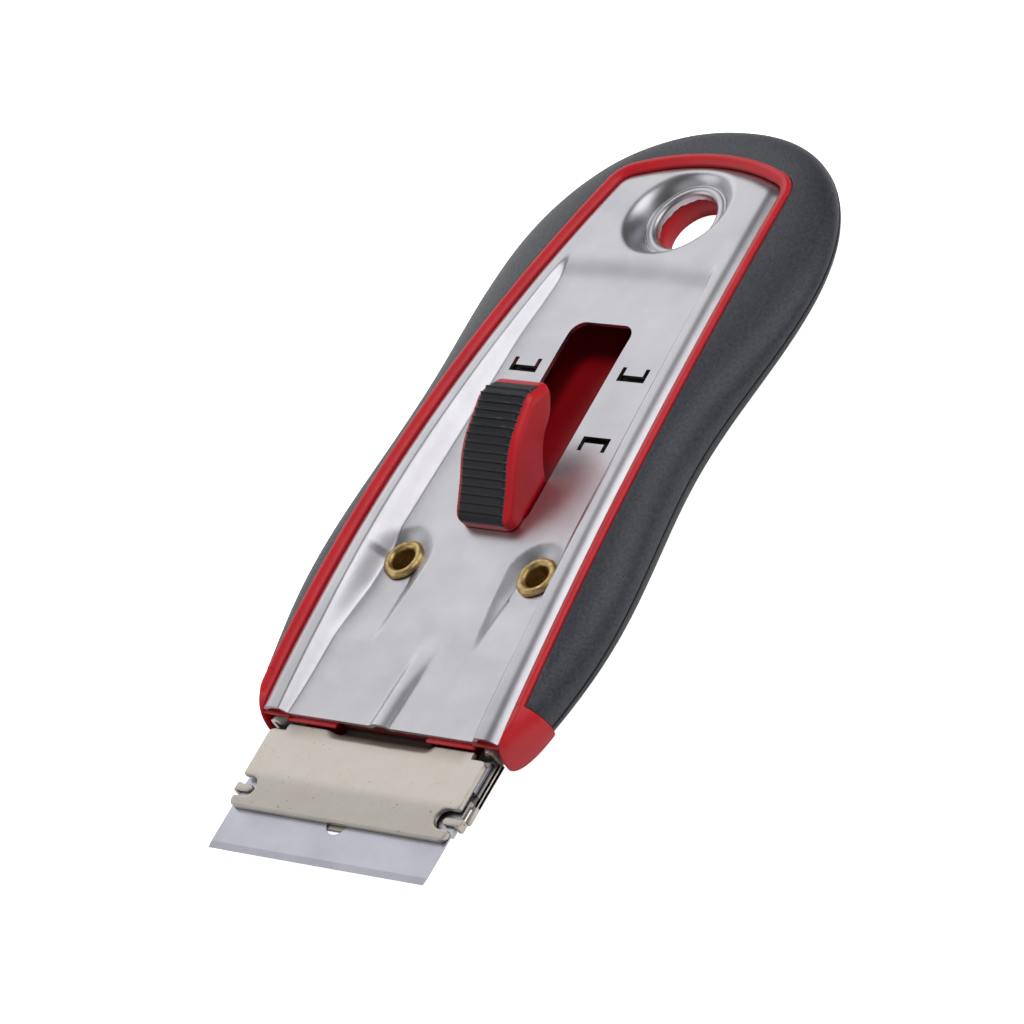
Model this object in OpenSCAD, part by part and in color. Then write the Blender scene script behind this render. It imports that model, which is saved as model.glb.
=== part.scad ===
// Retractable razor blade scraper: a pressed steel cover on a moulded handle, with a sliding blade carriage.
// Millimetres, +Z up. The blade points along -Y and the handle stands on z = 0.
// Inside the modules y is measured from the cover's front edge, and in_frame() moves it to the origin.

/* [Handle outline] */
// How far the nose swells past the rim on each side
nose_swell = 0.3; // [0.2:0.05:1]
// How far the front swelling stands past the nose on each side
shoulder_swell = 4.6; // [3.4:0.1:6.4]
// How far the waist stands past the nose on each side
waist_swell = 2.5; // [1.8:0.1:3.4]
// How far the rear swelling stands past the nose on each side
hip_swell = 4.55; // [3.4:0.05:6.4]
// How far the nose stands in front of the cover
nose_reach = 1.5; // [1:0.1:2.5]
// Place of the front swelling behind the cover's edge
shoulder_y = 22; // [18:0.5:26]
// Place of the waist
waist_y = 47.5; // [42:0.5:52]
// Place of the rear swelling
hip_y = 73; // [68:0.5:78]
// Length of the rounded tail behind the rear swelling
tail_len = 28.5; // [26:0.5:34]
// Squareness of the tail's outline, 2 for an ellipse
tail_power_share = 2.2; // [2:0.1:2.6]

/* [Handle section] */
// Radius of the arch that the rim follows from nose to tail
arch_r = 280; // [250:5:320]
// Place of the arch's highest point
arch_y = 41; // [36:1:46]
// Height of the rim at the arch's highest point
rim_crest_z = 9.7; // [9.4:0.1:11]
// Lowest height of the parting line
seam_low_z = 2.8; // [2.4:0.1:3.2]
// Highest height of the parting line
seam_high_z = 4.2; // [3.4:0.1:4.6]
// Place of the parting line's highest point
seam_crest_y = 34; // [28:1:40]
// Length of the parting line's bow in front of its highest point
seam_front_len = 34; // [30:1:40]
// Length of the bow behind it
seam_rear_len = 62; // [56:1:66]
// Width of the rounded edge under the parting line
under_round_w = 8; // [6:0.5:9]
// Thickness of the base shell's floor
base_t = 0.9; // [0.8:0.05:1]
// Height of the housing's floor
floor_z = 1.6; // [1.5:0.05:1.7]
// Place where the soft grip and the base shell begin
grip_front_y = 5.5; // [5:0.1:6.5]
// Underside of the shelves inside the mouth
shelf_z = 4.8; // [4.7:0.05:4.9]
// Length of the shelves inside the mouth
shelf_len = 9; // [6:0.5:14]
// Inner end of the shelves
shelf_in_x = 8; // [7.8:0.1:10]
// Length of the housing's hollow behind the window
cavity_back = 5; // [3:0.5:6]
// Radius of the nose's round corners
nose_r = 5; // [4.8:0.1:5.2]
// Height of the nose's widest line
nose_z = 2.3; // [2.1:0.1:2.6]

/* [Cover plate] */
// Length of the cover
cover_len = 92.9; // [92:0.1:94]
// Thickness of the cover's sheet
cover_t = 0.8; // [0.6:0.05:0.9]
// Radius of the cover's long sides
side_r = 596; // [520:10:700]
// Radius of the cover's rear edge
rear_r = 32.4; // [31:0.1:34]
// Radius of the cover's rear corners
corner_r = 3; // [2.5:0.1:4]
// Height of the side rails at the arch's highest point
rail_crest_z = 9.15; // [9:0.05:9.3]
// Width of the side rails
rail_w = 3.4; // [3:0.1:3.8]
// Height of the middle panel at the front edge
panel_front_z = 6.1; // [6:0.05:6.3]
// Radius of the middle panel's long slow arch
panel_r = 3420; // [2800:20:4200]
// Place of the middle panel's highest point, behind the cover
panel_crest_y = 108; // [100:1:116]
// Half width of the button's window
window_half_w = 5.4; // [5.2:0.1:5.8]
// Front end of the window, under the button
window_front_y = 32.3; // [32:0.1:32.6]
// Rear end of the window
window_rear_y = 65; // [63.5:0.5:67]
// Corner radius of the window
window_r = 1.6; // [1:0.1:2]

/* [Cover details] */
// Side gap between the carriage's arms and the eyelets' bosses
eyelet_side_gap = 0.97; // [0.7:0.01:1.2]
// Place of the eyelets
eyelet_y = 25.3; // [25.2:0.1:25.8]
// Outer radius of the eyelets' flanges
eyelet_flange_r = 3.05; // [2.8:0.05:3.2]
// Bore radius of the eyelets
eyelet_bore_r = 1.7; // [1.5:0.05:1.8]
// Wall of the eyelets' barrels
eyelet_wall = 0.4; // [0.3:0.05:0.45]
// Thickness of the eyelets' rolled flanges
eyelet_flange_t = 0.55; // [0.4:0.05:0.7]
// Radius of the eyelet pockets in the middle panel
pocket_r = 4.2; // [3.9:0.1:4.5]
// Depth of the eyelet pockets
pocket_depth = 1; // [0.8:0.05:1.1]
// Inner end of the lanced slots
lance_in_x = 7; // [6.8:0.1:7.4]
// Gap between the cover's widest side and the lanced tabs
lance_side_gap = 8.2; // [7.8:0.1:8.7]
// Crossbar of the front lanced slots
lance_front_y = 46.5; // [46.2:0.1:47]
// Crossbar of the rear lanced slots
lance_rear_y = 56.6; // [56:0.1:57]
// Length of the lanced slots' arms
lance_len = 2; // [1.8:0.1:2.4]
// Width of the lanced slots
lance_w = 0.5; // [0.4:0.05:0.6]
// Place of the hanging hole
hole_y = 84.4; // [83.5:0.1:85]
// Radius of the cover's collar round the hanging hole
throat_r = 4.6; // [4.3:0.1:5]
// Radius of the dimple round the hanging hole
dimple_r = 9; // [8.6:0.1:9.2]
// Radius at the foot of the dimple
dimple_foot_r = 5.9; // [5.6:0.1:6.2]
// Height of the dimple's foot
dimple_foot_z = 3.3; // [3.1:0.1:3.5]
// Width of the short rib at the cover's front edge
front_rib_w = 3; // [2.6:0.1:3.4]
// Length of the short rib
front_rib_len = 9; // [6:0.5:12]
// Height of the short rib
front_rib_h = 0.5; // [0.4:0.05:0.7]

/* [Blade and spine] */
// Length of the blade along its edge
blade_len = 38.1; // [37.8:0.1:38.2]
// Depth of the blade with its spine
blade_depth = 19.05; // [18.9:0.05:19.1]
// Thickness of the blade
blade_t = 0.25; // [0.2:0.01:0.3]
// How far the edge stands in front of the cover
blade_reach = 20.1; // [20:0.05:20.2]
// Height of the blade's middle plane
blade_z = 3.2; // [3.15:0.01:3.25]
// Depth of the ground bevel
bevel_depth = 1; // [0.6:0.1:1.6]
// Outer thickness of the folded spine
spine_t = 1.2; // [1.1:0.02:1.2]
// Depth of the folded spine
spine_depth = 5; // [4.6:0.1:5.4]
// Radius of the notches in the blade's ends
blade_notch_r = 1; // [0.6:0.1:1.4]
// Radius of the blade's middle hole
blade_hole_r = 1.75; // [1.5:0.05:2]
// Place of the middle hole, behind the blade's edge
blade_hole_set = 6.6; // [6.3:0.1:6.9]

/* [Blade carriage] */
// Thickness of the carrier's and the clamp's sheet
sheet_t = 0.7; // [0.6:0.02:0.72]
// Side gap between the blade's ends and the carrier's walls
blade_side_gap = 0.15; // [0.1:0.01:0.2]
// Gap between the carrier and the floor
carrier_gap = 0.3; // [0.2:0.05:0.35]
// Front edge of the carrier, behind the blade's edge
carrier_set = 7.7; // [7.1:0.1:8.1]
// Rear edge of the carrier's raised land, behind the blade's edge
land_set = 13.1; // [12.7:0.1:13.5]
// Length of the carrier's side arms inside the housing
arm_len = 8; // [6:0.5:8.5]
// Width of the side arms
arm_w = 4.5; // [4.2:0.1:4.7]
// Height of the curled ears' tops
ear_top_z = 5; // [4.9:0.02:5.04]
// Width of the curled ears
ear_w = 3.2; // [2.7:0.1:3.5]
// Outer radius of the curled ears
ear_r = 2.2; // [1.8:0.1:2.4]
// Front end of the ears, behind the blade's back
ear_set = 0.25; // [0.1:0.05:0.4]
// Height of the side walls beside the raised land
wall_top_z = 3.9; // [3.6:0.05:4.1]
// Height of the low side walls behind the land, above the carrier's floor
lip_h = 0.35; // [0.3:0.05:0.6]
// Side gap between the carrier's tail and the eyelets' bosses
tail_side_gap = 1.57; // [1.2:0.01:2]
// Rear end of the carrier's tail
tail_end_y = 41.3; // [41.1:0.1:42]
// Place of the hooked lugs, behind the blade's edge
lug_set = 9.3; // [9.1:0.05:9.5]
// Width of the hooked lugs
lug_w = 1.6; // [1.4:0.05:1.8]
// Length of the hooked lugs from the carrier's side
lug_len = 3.5; // [3.2:0.05:3.6]
// Top of the hooked lugs
lug_top_z = 4.1; // [4.08:0.02:4.2]
// How far the clamp plate stands past the blade's ends
clamp_overhang = 0.05; // [0.01:0.01:0.1]
// Front edge of the clamp plate, behind the blade's edge
clamp_set = 6.2; // [5.7:0.1:6.5]
// Bend line of the clamp plate, behind the blade's edge
clamp_bend_set = 11.1; // [10.9:0.1:11.3]
// Gap between the blade's back and the clamp plate's web
web_set = 1.05; // [0.9:0.05:1.2]
// Corner radius of the clamp plate
clamp_corner_r = 1; // [0.8:0.1:1.3]
// Gap between the lugs' free ends and the clamp plate's notches
notch_gap = 0.5; // [0.4:0.05:1]
// Width of the clamp plate's notches
notch_w = 3; // [2.6:0.1:3.4]
// Length of the clamp plate's riveted tongue
tongue_len = 6.6; // [6:0.1:7]
// Place of the clamp rivets across the tail, as a share of its half width
clamp_rivet_share = 0.63; // [0.6:0.01:0.68]
// Place of the clamp rivets, behind the clamp plate's web
clamp_rivet_set = 3.8; // [3.6:0.1:4.2]
// Shank radius of the small rivets
rivet_r = 0.9; // [0.7:0.05:1]
// Head radius of the small rivets
rivet_head_r = 1.7; // [1.4:0.05:1.8]
// Head height of the small rivets
rivet_head_h = 0.6; // [0.4:0.05:0.7]

/* [Button] */
// Front of the button
button_front_y = 31.05; // [30.9:0.05:31.2]
// Length of the button
button_len = 18.25; // [17.5:0.05:18.5]
// Underside of the button above the middle panel
button_z = 7.4; // [7.38:0.02:7.5]
// Height of the button above its underside
button_h = 9.4; // [8.6:0.1:10]
// Half width of the button
button_half_w = 5; // [4.6:0.1:5.2]
// Half width of the ribbed pad
pad_half_w = 3.85; // [3.5:0.05:4]
// Thickness of the ribbed pad
pad_t = 0.9; // [0.7:0.05:1.1]
// Number of ribs across the pad
pad_ribs = 15; // [10:1:16]
// Radius of the pad's ribs
pad_rib_r = 0.3; // [0.25:0.01:0.35]
// Half width of the button's neck in the window
neck_half_w = 4.9; // [4.6:0.05:4.95]
// Front of the button's neck
neck_front_y = 33; // [32.9:0.05:33.2]
// Length of the button's neck
neck_len = 6.4; // [6:0.05:6.4]
// Underside of the neck, above the bracket
neck_z = 6; // [5.9:0.05:6.1]
// Half width of the button's tongue between the bracket's ears
tongue_half_w = 2.1; // [1.9:0.05:2.2]
// Underside of the tongue
tongue_z = 3.9; // [3.85:0.05:4]
// Underside of the heel that the lock spring lifts
heel_z = 4.65; // [4.6:0.05:4.8]
// Rear end of the heel
heel_y = 40.8; // [40.6:0.1:41]
// Place of the pivot pin
pivot_y = 34.6; // [34.5:0.05:34.8]
// Height of the pivot pin
pivot_z = 4.75; // [4.7:0.02:4.8]
// Radius of the pivot pin
pivot_r = 0.5; // [0.45:0.01:0.52]

/* [Bracket, spring and lock strips] */
// Half width of the bracket over its ears
bracket_half_w = 3.1; // [3:0.05:3.2]
// Thickness of the bracket's sheet
bracket_t = 0.6; // [0.5:0.02:0.64]
// Front end of the bracket's foot
bracket_front_y = 27.4; // [27:0.1:27.8]
// Place of the rivet that holds the bracket and the lock spring
bracket_rivet_y = 29.8; // [29.6:0.1:30]
// Front and rear reach of the bracket's ears from the pivot pin
bracket_ear_reach = 1.6; // [1.4:0.05:1.7]
// Top of the bracket's ears
bracket_top_z = 5.65; // [5.6:0.02:5.68]
// Thickness of the lock spring
spring_t = 0.3; // [0.25:0.01:0.35]
// Half width of the lock spring
spring_half_w = 1.9; // [1.5:0.1:2.1]
// Place where the lock spring starts to rise
spring_bend_y = 36.4; // [36.3:0.1:36.8]
// Place where the lock spring meets the button's heel
spring_touch_y = 39.6; // [39.2:0.1:39.8]
// Thickness of the lock strips
lock_strip_t = 0.6; // [0.5:0.02:0.62]
// Gap between the cover's widest side and the lock strips
lock_strip_side_gap = 7.2; // [7:0.1:7.4]
// How far the lock strips lie over each lanced tab
lock_lap = 1; // [0.8:0.05:1.2]
// Number of lock notches along each strip
lock_notches = 4; // [2:1:5]
// Radius of the lock notches
lock_notch_r = 0.8; // [0.6:0.05:0.9]

/* [Fits] */
// Side and end clearance between the cover and the rim
cover_gap = 0.3; // [0.2:0.05:0.4]
// Gap between bonded or nested shells
skin_gap = 0.03; // [0.02:0.01:0.05]
// Radial clearance of the pivot pin in the button
pivot_gap = 0.04; // [0.02:0.01:0.08]
// Side clearance of the carriage in the housing
slide_gap = 0.3; // [0.25:0.05:0.4]
// Play between thin parts that lie on each other
lay_gap = 0.02; // [0.01:0.01:0.03]

/* [Hidden] */

// Facets of small round parts, and of the very large arches
$fn = 48;
fn_arch = 1440;
fn_hull = 32;

// One overrun for every cut
over = nose_r * 2;

// Rim and rail
rim_w = 1.8;
rim_edge_w = 0.7;
rim_edge_h = 0.6;
rim_out = cover_gap + rim_w;
seam_gap = 0.12;

// Eyelets and their bosses
barrel_r = eyelet_bore_r + eyelet_wall;
boss_wall = 0.5;
boss_r = barrel_r + skin_gap + boss_wall;
foot_flange_t = 0.4;
foot_flange_r = barrel_r + eyelet_wall * 2;
pocket_z = panel_z(eyelet_y) - pocket_depth;

// Widths that follow the blade's length
carrier_half_w = blade_len / 2 + blade_side_gap + sheet_t;
clamp_half_w = blade_len / 2 + clamp_overhang;
cover_half_w = carrier_half_w + slide_gap;
lance_out_x = cover_half_w - lance_side_gap;
lock_strip_out_x = cover_half_w - lock_strip_side_gap;
nose_half_w = cover_half_w + cover_gap + rim_w + nose_swell;
shoulder_half_w = nose_half_w + shoulder_swell;
waist_half_w = nose_half_w + waist_swell;
hip_half_w = nose_half_w + hip_swell;
arm_in_x = carrier_half_w - arm_w;
ear_in_x = carrier_half_w - ear_w;
lug_in_x = carrier_half_w - lug_len;
notch_in_x = lug_in_x - notch_gap;
eyelet_x = arm_in_x - eyelet_side_gap - boss_r;
tail_half_w = eyelet_x - boss_r - tail_side_gap;
clamp_rivet_x = tail_half_w * clamp_rivet_share;

// The row's origin is the middle of the whole scraper
rear_y = hip_y + tail_len;
frame_y = (blade_reach - rear_y) / 2;

// Sheet levels of the carriage
carrier_z = floor_z + carrier_gap;
carrier_top_z = carrier_z + sheet_t;
blade_low_z = blade_z - blade_t / 2;
blade_top_z = blade_z + blade_t / 2;
spine_low_z = blade_z - spine_t / 2;
spine_top_z = blade_z + spine_t / 2;
blade_back_y = blade_depth - blade_reach;

// Places along the carriage that follow the blade
blade_hole_back = blade_reach - blade_hole_set;
carrier_reach = blade_reach - carrier_set;
land_back = blade_reach - land_set;
lug_back = blade_reach - lug_set;
clamp_reach = blade_reach - clamp_set;
clamp_bend = blade_reach - clamp_bend_set;
ear_reach = -blade_back_y - ear_set;
web_y = blade_back_y + web_set;
clamp_rivet_y = web_y + clamp_rivet_set;
lip_top_z = carrier_top_z + lip_h;

groove_top_z = ear_top_z + slide_gap / 2;

// The carriage slides back until it meets the eyelet bosses
travel_len = eyelet_y - boss_r - slide_gap + ear_reach;

// Inside of the housing
bay_half_w = carrier_half_w + slide_gap;
bay_end_y = arm_len + travel_len + slide_gap;
cavity_end_y = window_rear_y + cavity_back;

// Steps of the outline
side_steps = 20;
turn_steps = 4;
round_steps = 8;
under_steps = 5;

// Centres of the cover's side, corner and rear arcs
side_c = [cover_half_w - side_r, 0];
rear_c = [0, cover_len - rear_r];
corner_c = meet(side_c, side_r - corner_r, rear_c, rear_r - corner_r);
side_end_a = atan2(corner_c.y - side_c.y, corner_c.x - side_c.x);
rear_start_a = atan2(corner_c.y - rear_c.y, corner_c.x - rear_c.x);

// The upper meeting point of two circles
function meet(c1, r1, c2, r2) =
    let (gap = norm(c2 - c1),
        along = (r1 * r1 - r2 * r2 + gap * gap) / (2 * gap),
        up = sqrt(r1 * r1 - along * along),
        dir = (c2 - c1) / gap)
    c1 + along * dir + up * [-dir.y, dir.x];

// Height of the arch with a given crest, of the middle panel, and of the parting line
function arch_z(crest_z, y) = crest_z - arch_r + sqrt(arch_r * arch_r - (y - arch_y) * (y - arch_y));
function panel_z(y) = panel_front_z - sqrt(panel_r * panel_r - panel_crest_y * panel_crest_y)
    + sqrt(panel_r * panel_r - (y - panel_crest_y) * (y - panel_crest_y));
function seam_z(y) =
    let (len = y < seam_crest_y ? seam_front_len : seam_rear_len,
        share = min(1, abs(y - seam_crest_y) / len))
    seam_low_z + (seam_high_z - seam_low_z) * pow(cos(90 * share), 2);

// Points of a circle's arc, without its first point
function arc(c, r, a0, a1, steps) = [for (i = [1:steps])
    let (a = a0 + (a1 - a0) * i / steps) c + r * [cos(a), sin(a)]];

// The right half of the cover's outline, set outwards by d, from y0 to the middle of the tail
function side_x(y, d) = side_c.x + sqrt((side_r + d) * (side_r + d) - y * y);
function half_edge(d, y0) =
    let (y1 = side_c.y + (side_r + d) * sin(side_end_a))
    concat([for (i = [0:side_steps]) let (y = y0 + (y1 - y0) * i / side_steps) [side_x(y, d), y]],
        arc(corner_c, corner_r + d, side_end_a, rear_start_a, turn_steps),
        arc(rear_c, rear_r + d, rear_start_a, 90, turn_steps));
function whole(half) = concat(half, [for (i = [len(half) - 2:-1:0]) [-half[i].x, half[i].y]]);

// The handle's outline beside a point of the rim
function handle_x(y) =
    y < shoulder_y ? nose_half_w + (shoulder_half_w - nose_half_w)
        * sin(90 * (y + nose_reach) / (shoulder_y + nose_reach))
    : y < waist_y ? waist_half_w + (shoulder_half_w - waist_half_w)
        * (1 + cos(180 * (y - shoulder_y) / (waist_y - shoulder_y))) / 2
    : hip_half_w + (waist_half_w - hip_half_w) * (1 + cos(180 * (y - waist_y) / (hip_y - waist_y))) / 2;
function tail_point(a) =
    let (n = tail_power_share,
        r = pow(pow(cos(a) / hip_half_w, n) + pow(sin(a) / tail_len, n), -1 / n))
    [r * cos(a), hip_y + r * sin(a)];
function handle_point(p) = p.y <= hip_y ? [handle_x(p.y), p.y]
    : tail_point(min(90, atan2(p.y - hip_y, max(0, p.x))));

// A ring of the grip: up the outside from the parting line to the rim, then down the rim's wall
function grip_ring(p) =
    let (q = handle_point(p),
        low = seam_z(q.y) + seam_gap / 2,
        top = arch_z(rim_crest_z, p.y) - rim_edge_h,
        rise = top + rim_edge_h - low,
        a1 = asin((top - low) / rise),
        span = norm(q - p) / (1 - cos(a1)),
        dir = (p - q) / norm(q - p))
    concat([for (i = [0:round_steps]) let (a = a1 * i / round_steps)
            [each q + dir * span * (1 - cos(a)), low + rise * sin(a)]],
        [[p.x, p.y, low]]);
function mirrored(ring) = [for (p = ring) [-p.x, p.y, p.z]];

// Skin over a row of closed rings, capped at both ends
module skin(rings) {
    n = len(rings[0]);
    last = len(rings) - 1;
    sides = [for (i = [0:last - 1]) for (j = [0:n - 1])
        let (a = i * n + j, b = i * n + (j + 1) % n) each [[a, b, a + n], [b, b + n, a + n]]];
    ends = [[for (j = [n - 1:-1:0]) j], [for (j = [0:n - 1]) last * n + j]];
    polyhedron(points = [for (r = rings) each r], faces = concat(sides, ends), convexity = 6);
}

// Skin over stacked levels whose outline is the same left and right
module bowl(levels) {
    n = len(levels[0]);
    last = len(levels) - 1;
    mid = (n - 1) / 2;
    sides = [for (i = [0:last - 1]) for (j = [0:n - 1])
        let (a = i * n + j, b = i * n + (j + 1) % n) each [[a, a + n, b], [b, a + n, b + n]]];
    strip = [for (j = [0:mid - 1]) each j == mid - 1 ? [[j, mid, n - 1 - j]]
        : [[j, j + 1, n - 2 - j], [j, n - 2 - j, n - 1 - j]]];
    floor_faces = [for (f = strip) [for (k = [2:-1:0]) last * n + f[k]]];
    polyhedron(points = [for (l = levels) each l], faces = concat(sides, strip, floor_faces), convexity = 4);
}

module in_frame() translate([0, frame_y, 0]) children();
module each_side() {
    children();
    mirror([1, 0, 0]) children();
}

// A block from one corner to the other
module block(low, high) translate(low) cube(high - low);

// All the space under an arch along Y
module under_arc(r, y, top_z) translate([0, y, top_z - r]) rotate([0, 90, 0])
    cylinder(r = r, h = hip_half_w * 4, center = true, $fn = fn_arch);
module under_arch(crest_z) under_arc(arch_r, arch_y, crest_z);
module under_panel(drop) under_arc(panel_r, panel_crest_y, panel_z(panel_crest_y) - drop);

// Straight prisms over the cover's outline, and over the middle panel
module edge_prism(d, y0, z0, z1) translate([0, 0, z0]) linear_extrude(z1 - z0)
    polygon(whole(half_edge(d, y0)));
module panel_prism(inset, y0, y1, z0, z1) {
    half = [for (i = [0:side_steps]) let (y = y0 + (y1 - y0) * i / side_steps) [side_x(y, 0) - inset, y]];
    translate([0, 0, z0]) linear_extrude(z1 - z0)
        polygon(concat(half, [for (i = [len(half) - 1:-1:0]) [-half[i].x, half[i].y]]));
}
module round_box(half_w, y0, y1, r, z0, z1) translate([0, 0, z0]) linear_extrude(z1 - z0) union() {
    translate([-half_w + r, y0]) square([(half_w - r) * 2, y1 - y0]);
    translate([-half_w, y0 + r]) square([half_w * 2, y1 - y0 - r * 2]);
    for (x = [-half_w + r, half_w - r]) for (y = [y0 + r, y1 - r]) translate([x, y]) circle(r);
}

high_z = rim_crest_z + over;

// Housing

module nose() {
    in_x = nose_half_w - nose_r;
    side = handle_x(grip_front_y) - nose_r;
    intersection() {
        hull() {
            translate([in_x, nose_r - nose_reach, nose_z]) sphere(nose_r, $fn = fn_hull);
            translate([side, grip_front_y + skin_gap, nose_z]) rotate([90, 0, 0])
                cylinder(r = nose_r, h = skin_gap, $fn = fn_hull);
        }
        block([0, -over, -over], [hip_half_w, grip_front_y - skin_gap, high_z]);
    }
}

module dimple_cone(grow, z_top) {
    slope = (dimple_r - dimple_foot_r) / (arch_z(rail_crest_z, hole_y) - dimple_foot_z);
    top_r = dimple_foot_r + slope * (z_top - dimple_foot_z);
    translate([0, hole_y, 0]) rotate_extrude()
        polygon([[0, dimple_foot_z - grow], [dimple_foot_r + grow, dimple_foot_z - grow],
            [top_r + grow, z_top], [0, z_top]]);
}

module housing_walls() {
    intersection() {
        edge_prism(rim_out, 0, 0, high_z);
        under_arch(rim_crest_z - rim_edge_h);
    }
    intersection() {
        edge_prism(rim_out - rim_edge_w, 0, base_t, high_z);
        under_arch(rim_crest_z);
    }
}

module housing() color("firebrick") in_frame() difference() {
    union() {
        difference() {
            union() {
                housing_walls();
                difference() {
                    each_side() nose();
                    block([-hip_half_w, -over, -over], [hip_half_w, over, 0]);
                }
            }
            // Room for the base shell's floor
            block([-hip_half_w, grip_front_y, -over], [hip_half_w, rear_y, base_t]);
            // Recess for the cover
            difference() {
                edge_prism(cover_gap, -over, 0, high_z);
                under_arch(rail_crest_z - cover_t);
            }
            // Recess for the middle panel
            difference() {
                panel_prism(rail_w - cover_t - cover_gap, -over, cavity_end_y, 0, high_z);
                under_panel(cover_t + lay_gap);
            }
            // Space under the middle panel, behind and between the shelves
            panel_prism(rail_w - cover_t - cover_gap, shelf_len, cavity_end_y, floor_z, high_z);
            block([-shelf_in_x, -over, floor_z], [shelf_in_x, shelf_len + over, high_z]);
            // Bay under the shelves, and grooves for the ears
            block([-bay_half_w, -over, floor_z], [bay_half_w, bay_end_y, shelf_z]);
            each_side() block([ear_in_x - slide_gap, -over, floor_z], [bay_half_w, bay_end_y, groove_top_z]);
            block([-bay_half_w, -over, -over], [bay_half_w, 0, high_z]);
        }
        each_side() translate([eyelet_x, eyelet_y, floor_z - skin_gap])
            cylinder(r = boss_r, h = pocket_z - cover_t - floor_z + skin_gap);
    }
    each_side() translate([eyelet_x, eyelet_y, -over]) cylinder(r = barrel_r + skin_gap, h = high_z + over);
    dimple_cone(cover_t + lay_gap, high_z);
    translate([0, hole_y, -over]) cylinder(r = throat_r, h = high_z);
}

// Base shell and grip

// The right half of one level of the base shell, and the same level made whole
function base_half(a) = [for (p = half_edge(rim_out, grip_front_y))
    let (q = handle_point(p), dir = (p - q) / norm(p - q), z = seam_z(q.y) - seam_gap / 2)
    [each q + dir * under_round_w * (1 - cos(a)), z * (1 - sin(a))]];
function full_level(half) = concat(half, mirrored([for (i = [len(half) - 2:-1:0]) half[i]]));

module base_shell() color("dimgray") in_frame() difference() {
    bowl([for (i = [0:under_steps]) full_level(base_half(90 * i / under_steps))]);
    edge_prism(rim_out + skin_gap, -over, base_t, high_z);
    each_side() translate([eyelet_x, eyelet_y, -over]) {
        cylinder(r = barrel_r + skin_gap, h = high_z);
        cylinder(r = foot_flange_r + skin_gap, h = over + foot_flange_t + skin_gap);
    }
    translate([0, hole_y, -over]) cylinder(r = throat_r, h = high_z);
}

module grip() color("dimgray") in_frame() {
    half = [for (p = half_edge(rim_out + skin_gap, grip_front_y)) grip_ring(p)];
    skin(concat(half, [for (i = [len(half) - 2:-1:0]) mirrored(half[i])]));
}

// Cover plate

module cover_top() difference() {
    intersection() {
        edge_prism(0, 0, 0, high_z);
        under_arch(rail_crest_z);
    }
    difference() {
        panel_prism(rail_w, -over, rear_y, -over, high_z);
        under_panel(0);
    }
}

module cover_hollow() intersection() {
    difference() {
        edge_prism(over, -over, -over, high_z);
        difference() {
            panel_prism(rail_w - cover_t, -over * 2, rear_y, -over, high_z);
            under_panel(cover_t);
        }
    }
    under_arch(rail_crest_z - cover_t);
}

module lance(y, turn) translate([0, y, panel_front_z - cover_t]) {
    reach = turn * lance_len;
    low = -cover_t - lock_strip_t;
    block([lance_in_x, -lance_w / 2, low], [lance_out_x, lance_w / 2, over]);
    for (x = [lance_in_x, lance_out_x - lance_w])
        block([x, min(0, reach), low], [x + lance_w, max(0, reach), over]);
}

// The bent tab under a lanced slot, which holds a lock strip's end
module lance_tab(y, turn) {
    root_y = y + turn * lock_lap;
    low_z = panel_z(y) - cover_t * 2 - lock_strip_t - lay_gap * 2;
    in_x = lance_in_x + lance_w;
    out_x = lance_out_x - lance_w;
    block([in_x, min(y, root_y + turn * cover_t), low_z],
        [out_x, max(y, root_y + turn * cover_t), low_z + cover_t]);
    block([in_x, min(root_y, root_y + turn * cover_t), low_z],
        [out_x, max(root_y, root_y + turn * cover_t), panel_z(y) - cover_t / 2]);
}

module front_rib() {
    rib_r = (front_rib_w * front_rib_w / 4 + front_rib_h * front_rib_h) / (front_rib_h * 2);
    intersection() {
        translate([0, 0, panel_front_z + front_rib_h - rib_r]) rotate([-90, 0, 0])
            cylinder(r = rib_r, h = front_rib_len);
        block([-front_rib_w, 0, panel_front_z - cover_t / 2], [front_rib_w, front_rib_len, high_z]);
    }
}

module cover_plate() color("silver") in_frame() difference() {
    union() {
        difference() {
            cover_top();
            cover_hollow();
            each_side() translate([eyelet_x, eyelet_y, pocket_z]) cylinder(r = pocket_r, h = over);
            each_side() lance(lance_front_y, -1);
            each_side() lance(lance_rear_y, 1);
            translate([0, hole_y, 0]) cylinder(r = dimple_r, h = high_z);
        }
        each_side() translate([eyelet_x, eyelet_y, pocket_z - cover_t])
            cylinder(r = pocket_r + cover_t / 2, h = cover_t);
        each_side() translate([eyelet_x, eyelet_y, pocket_z - cover_t]) difference() {
            cylinder(r = pocket_r + cover_t / 2, h = pocket_depth);
            cylinder(r = pocket_r, h = over);
        }
        each_side() lance_tab(lance_front_y, -1);
        each_side() lance_tab(lance_rear_y, 1);
        intersection() {
            dimple_cone(cover_t, high_z);
            edge_prism(0, 0, 0, high_z);
            under_arch(rail_crest_z);
        }
        front_rib();
    }
    dimple_cone(0, high_z);
    translate([0, hole_y, 0]) cylinder(r = throat_r, h = high_z);
    round_box(window_half_w, window_front_y, window_rear_y, window_r, 0, high_z);
    each_side() translate([eyelet_x, eyelet_y, 0]) cylinder(r = barrel_r + skin_gap, h = high_z);
}

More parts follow.
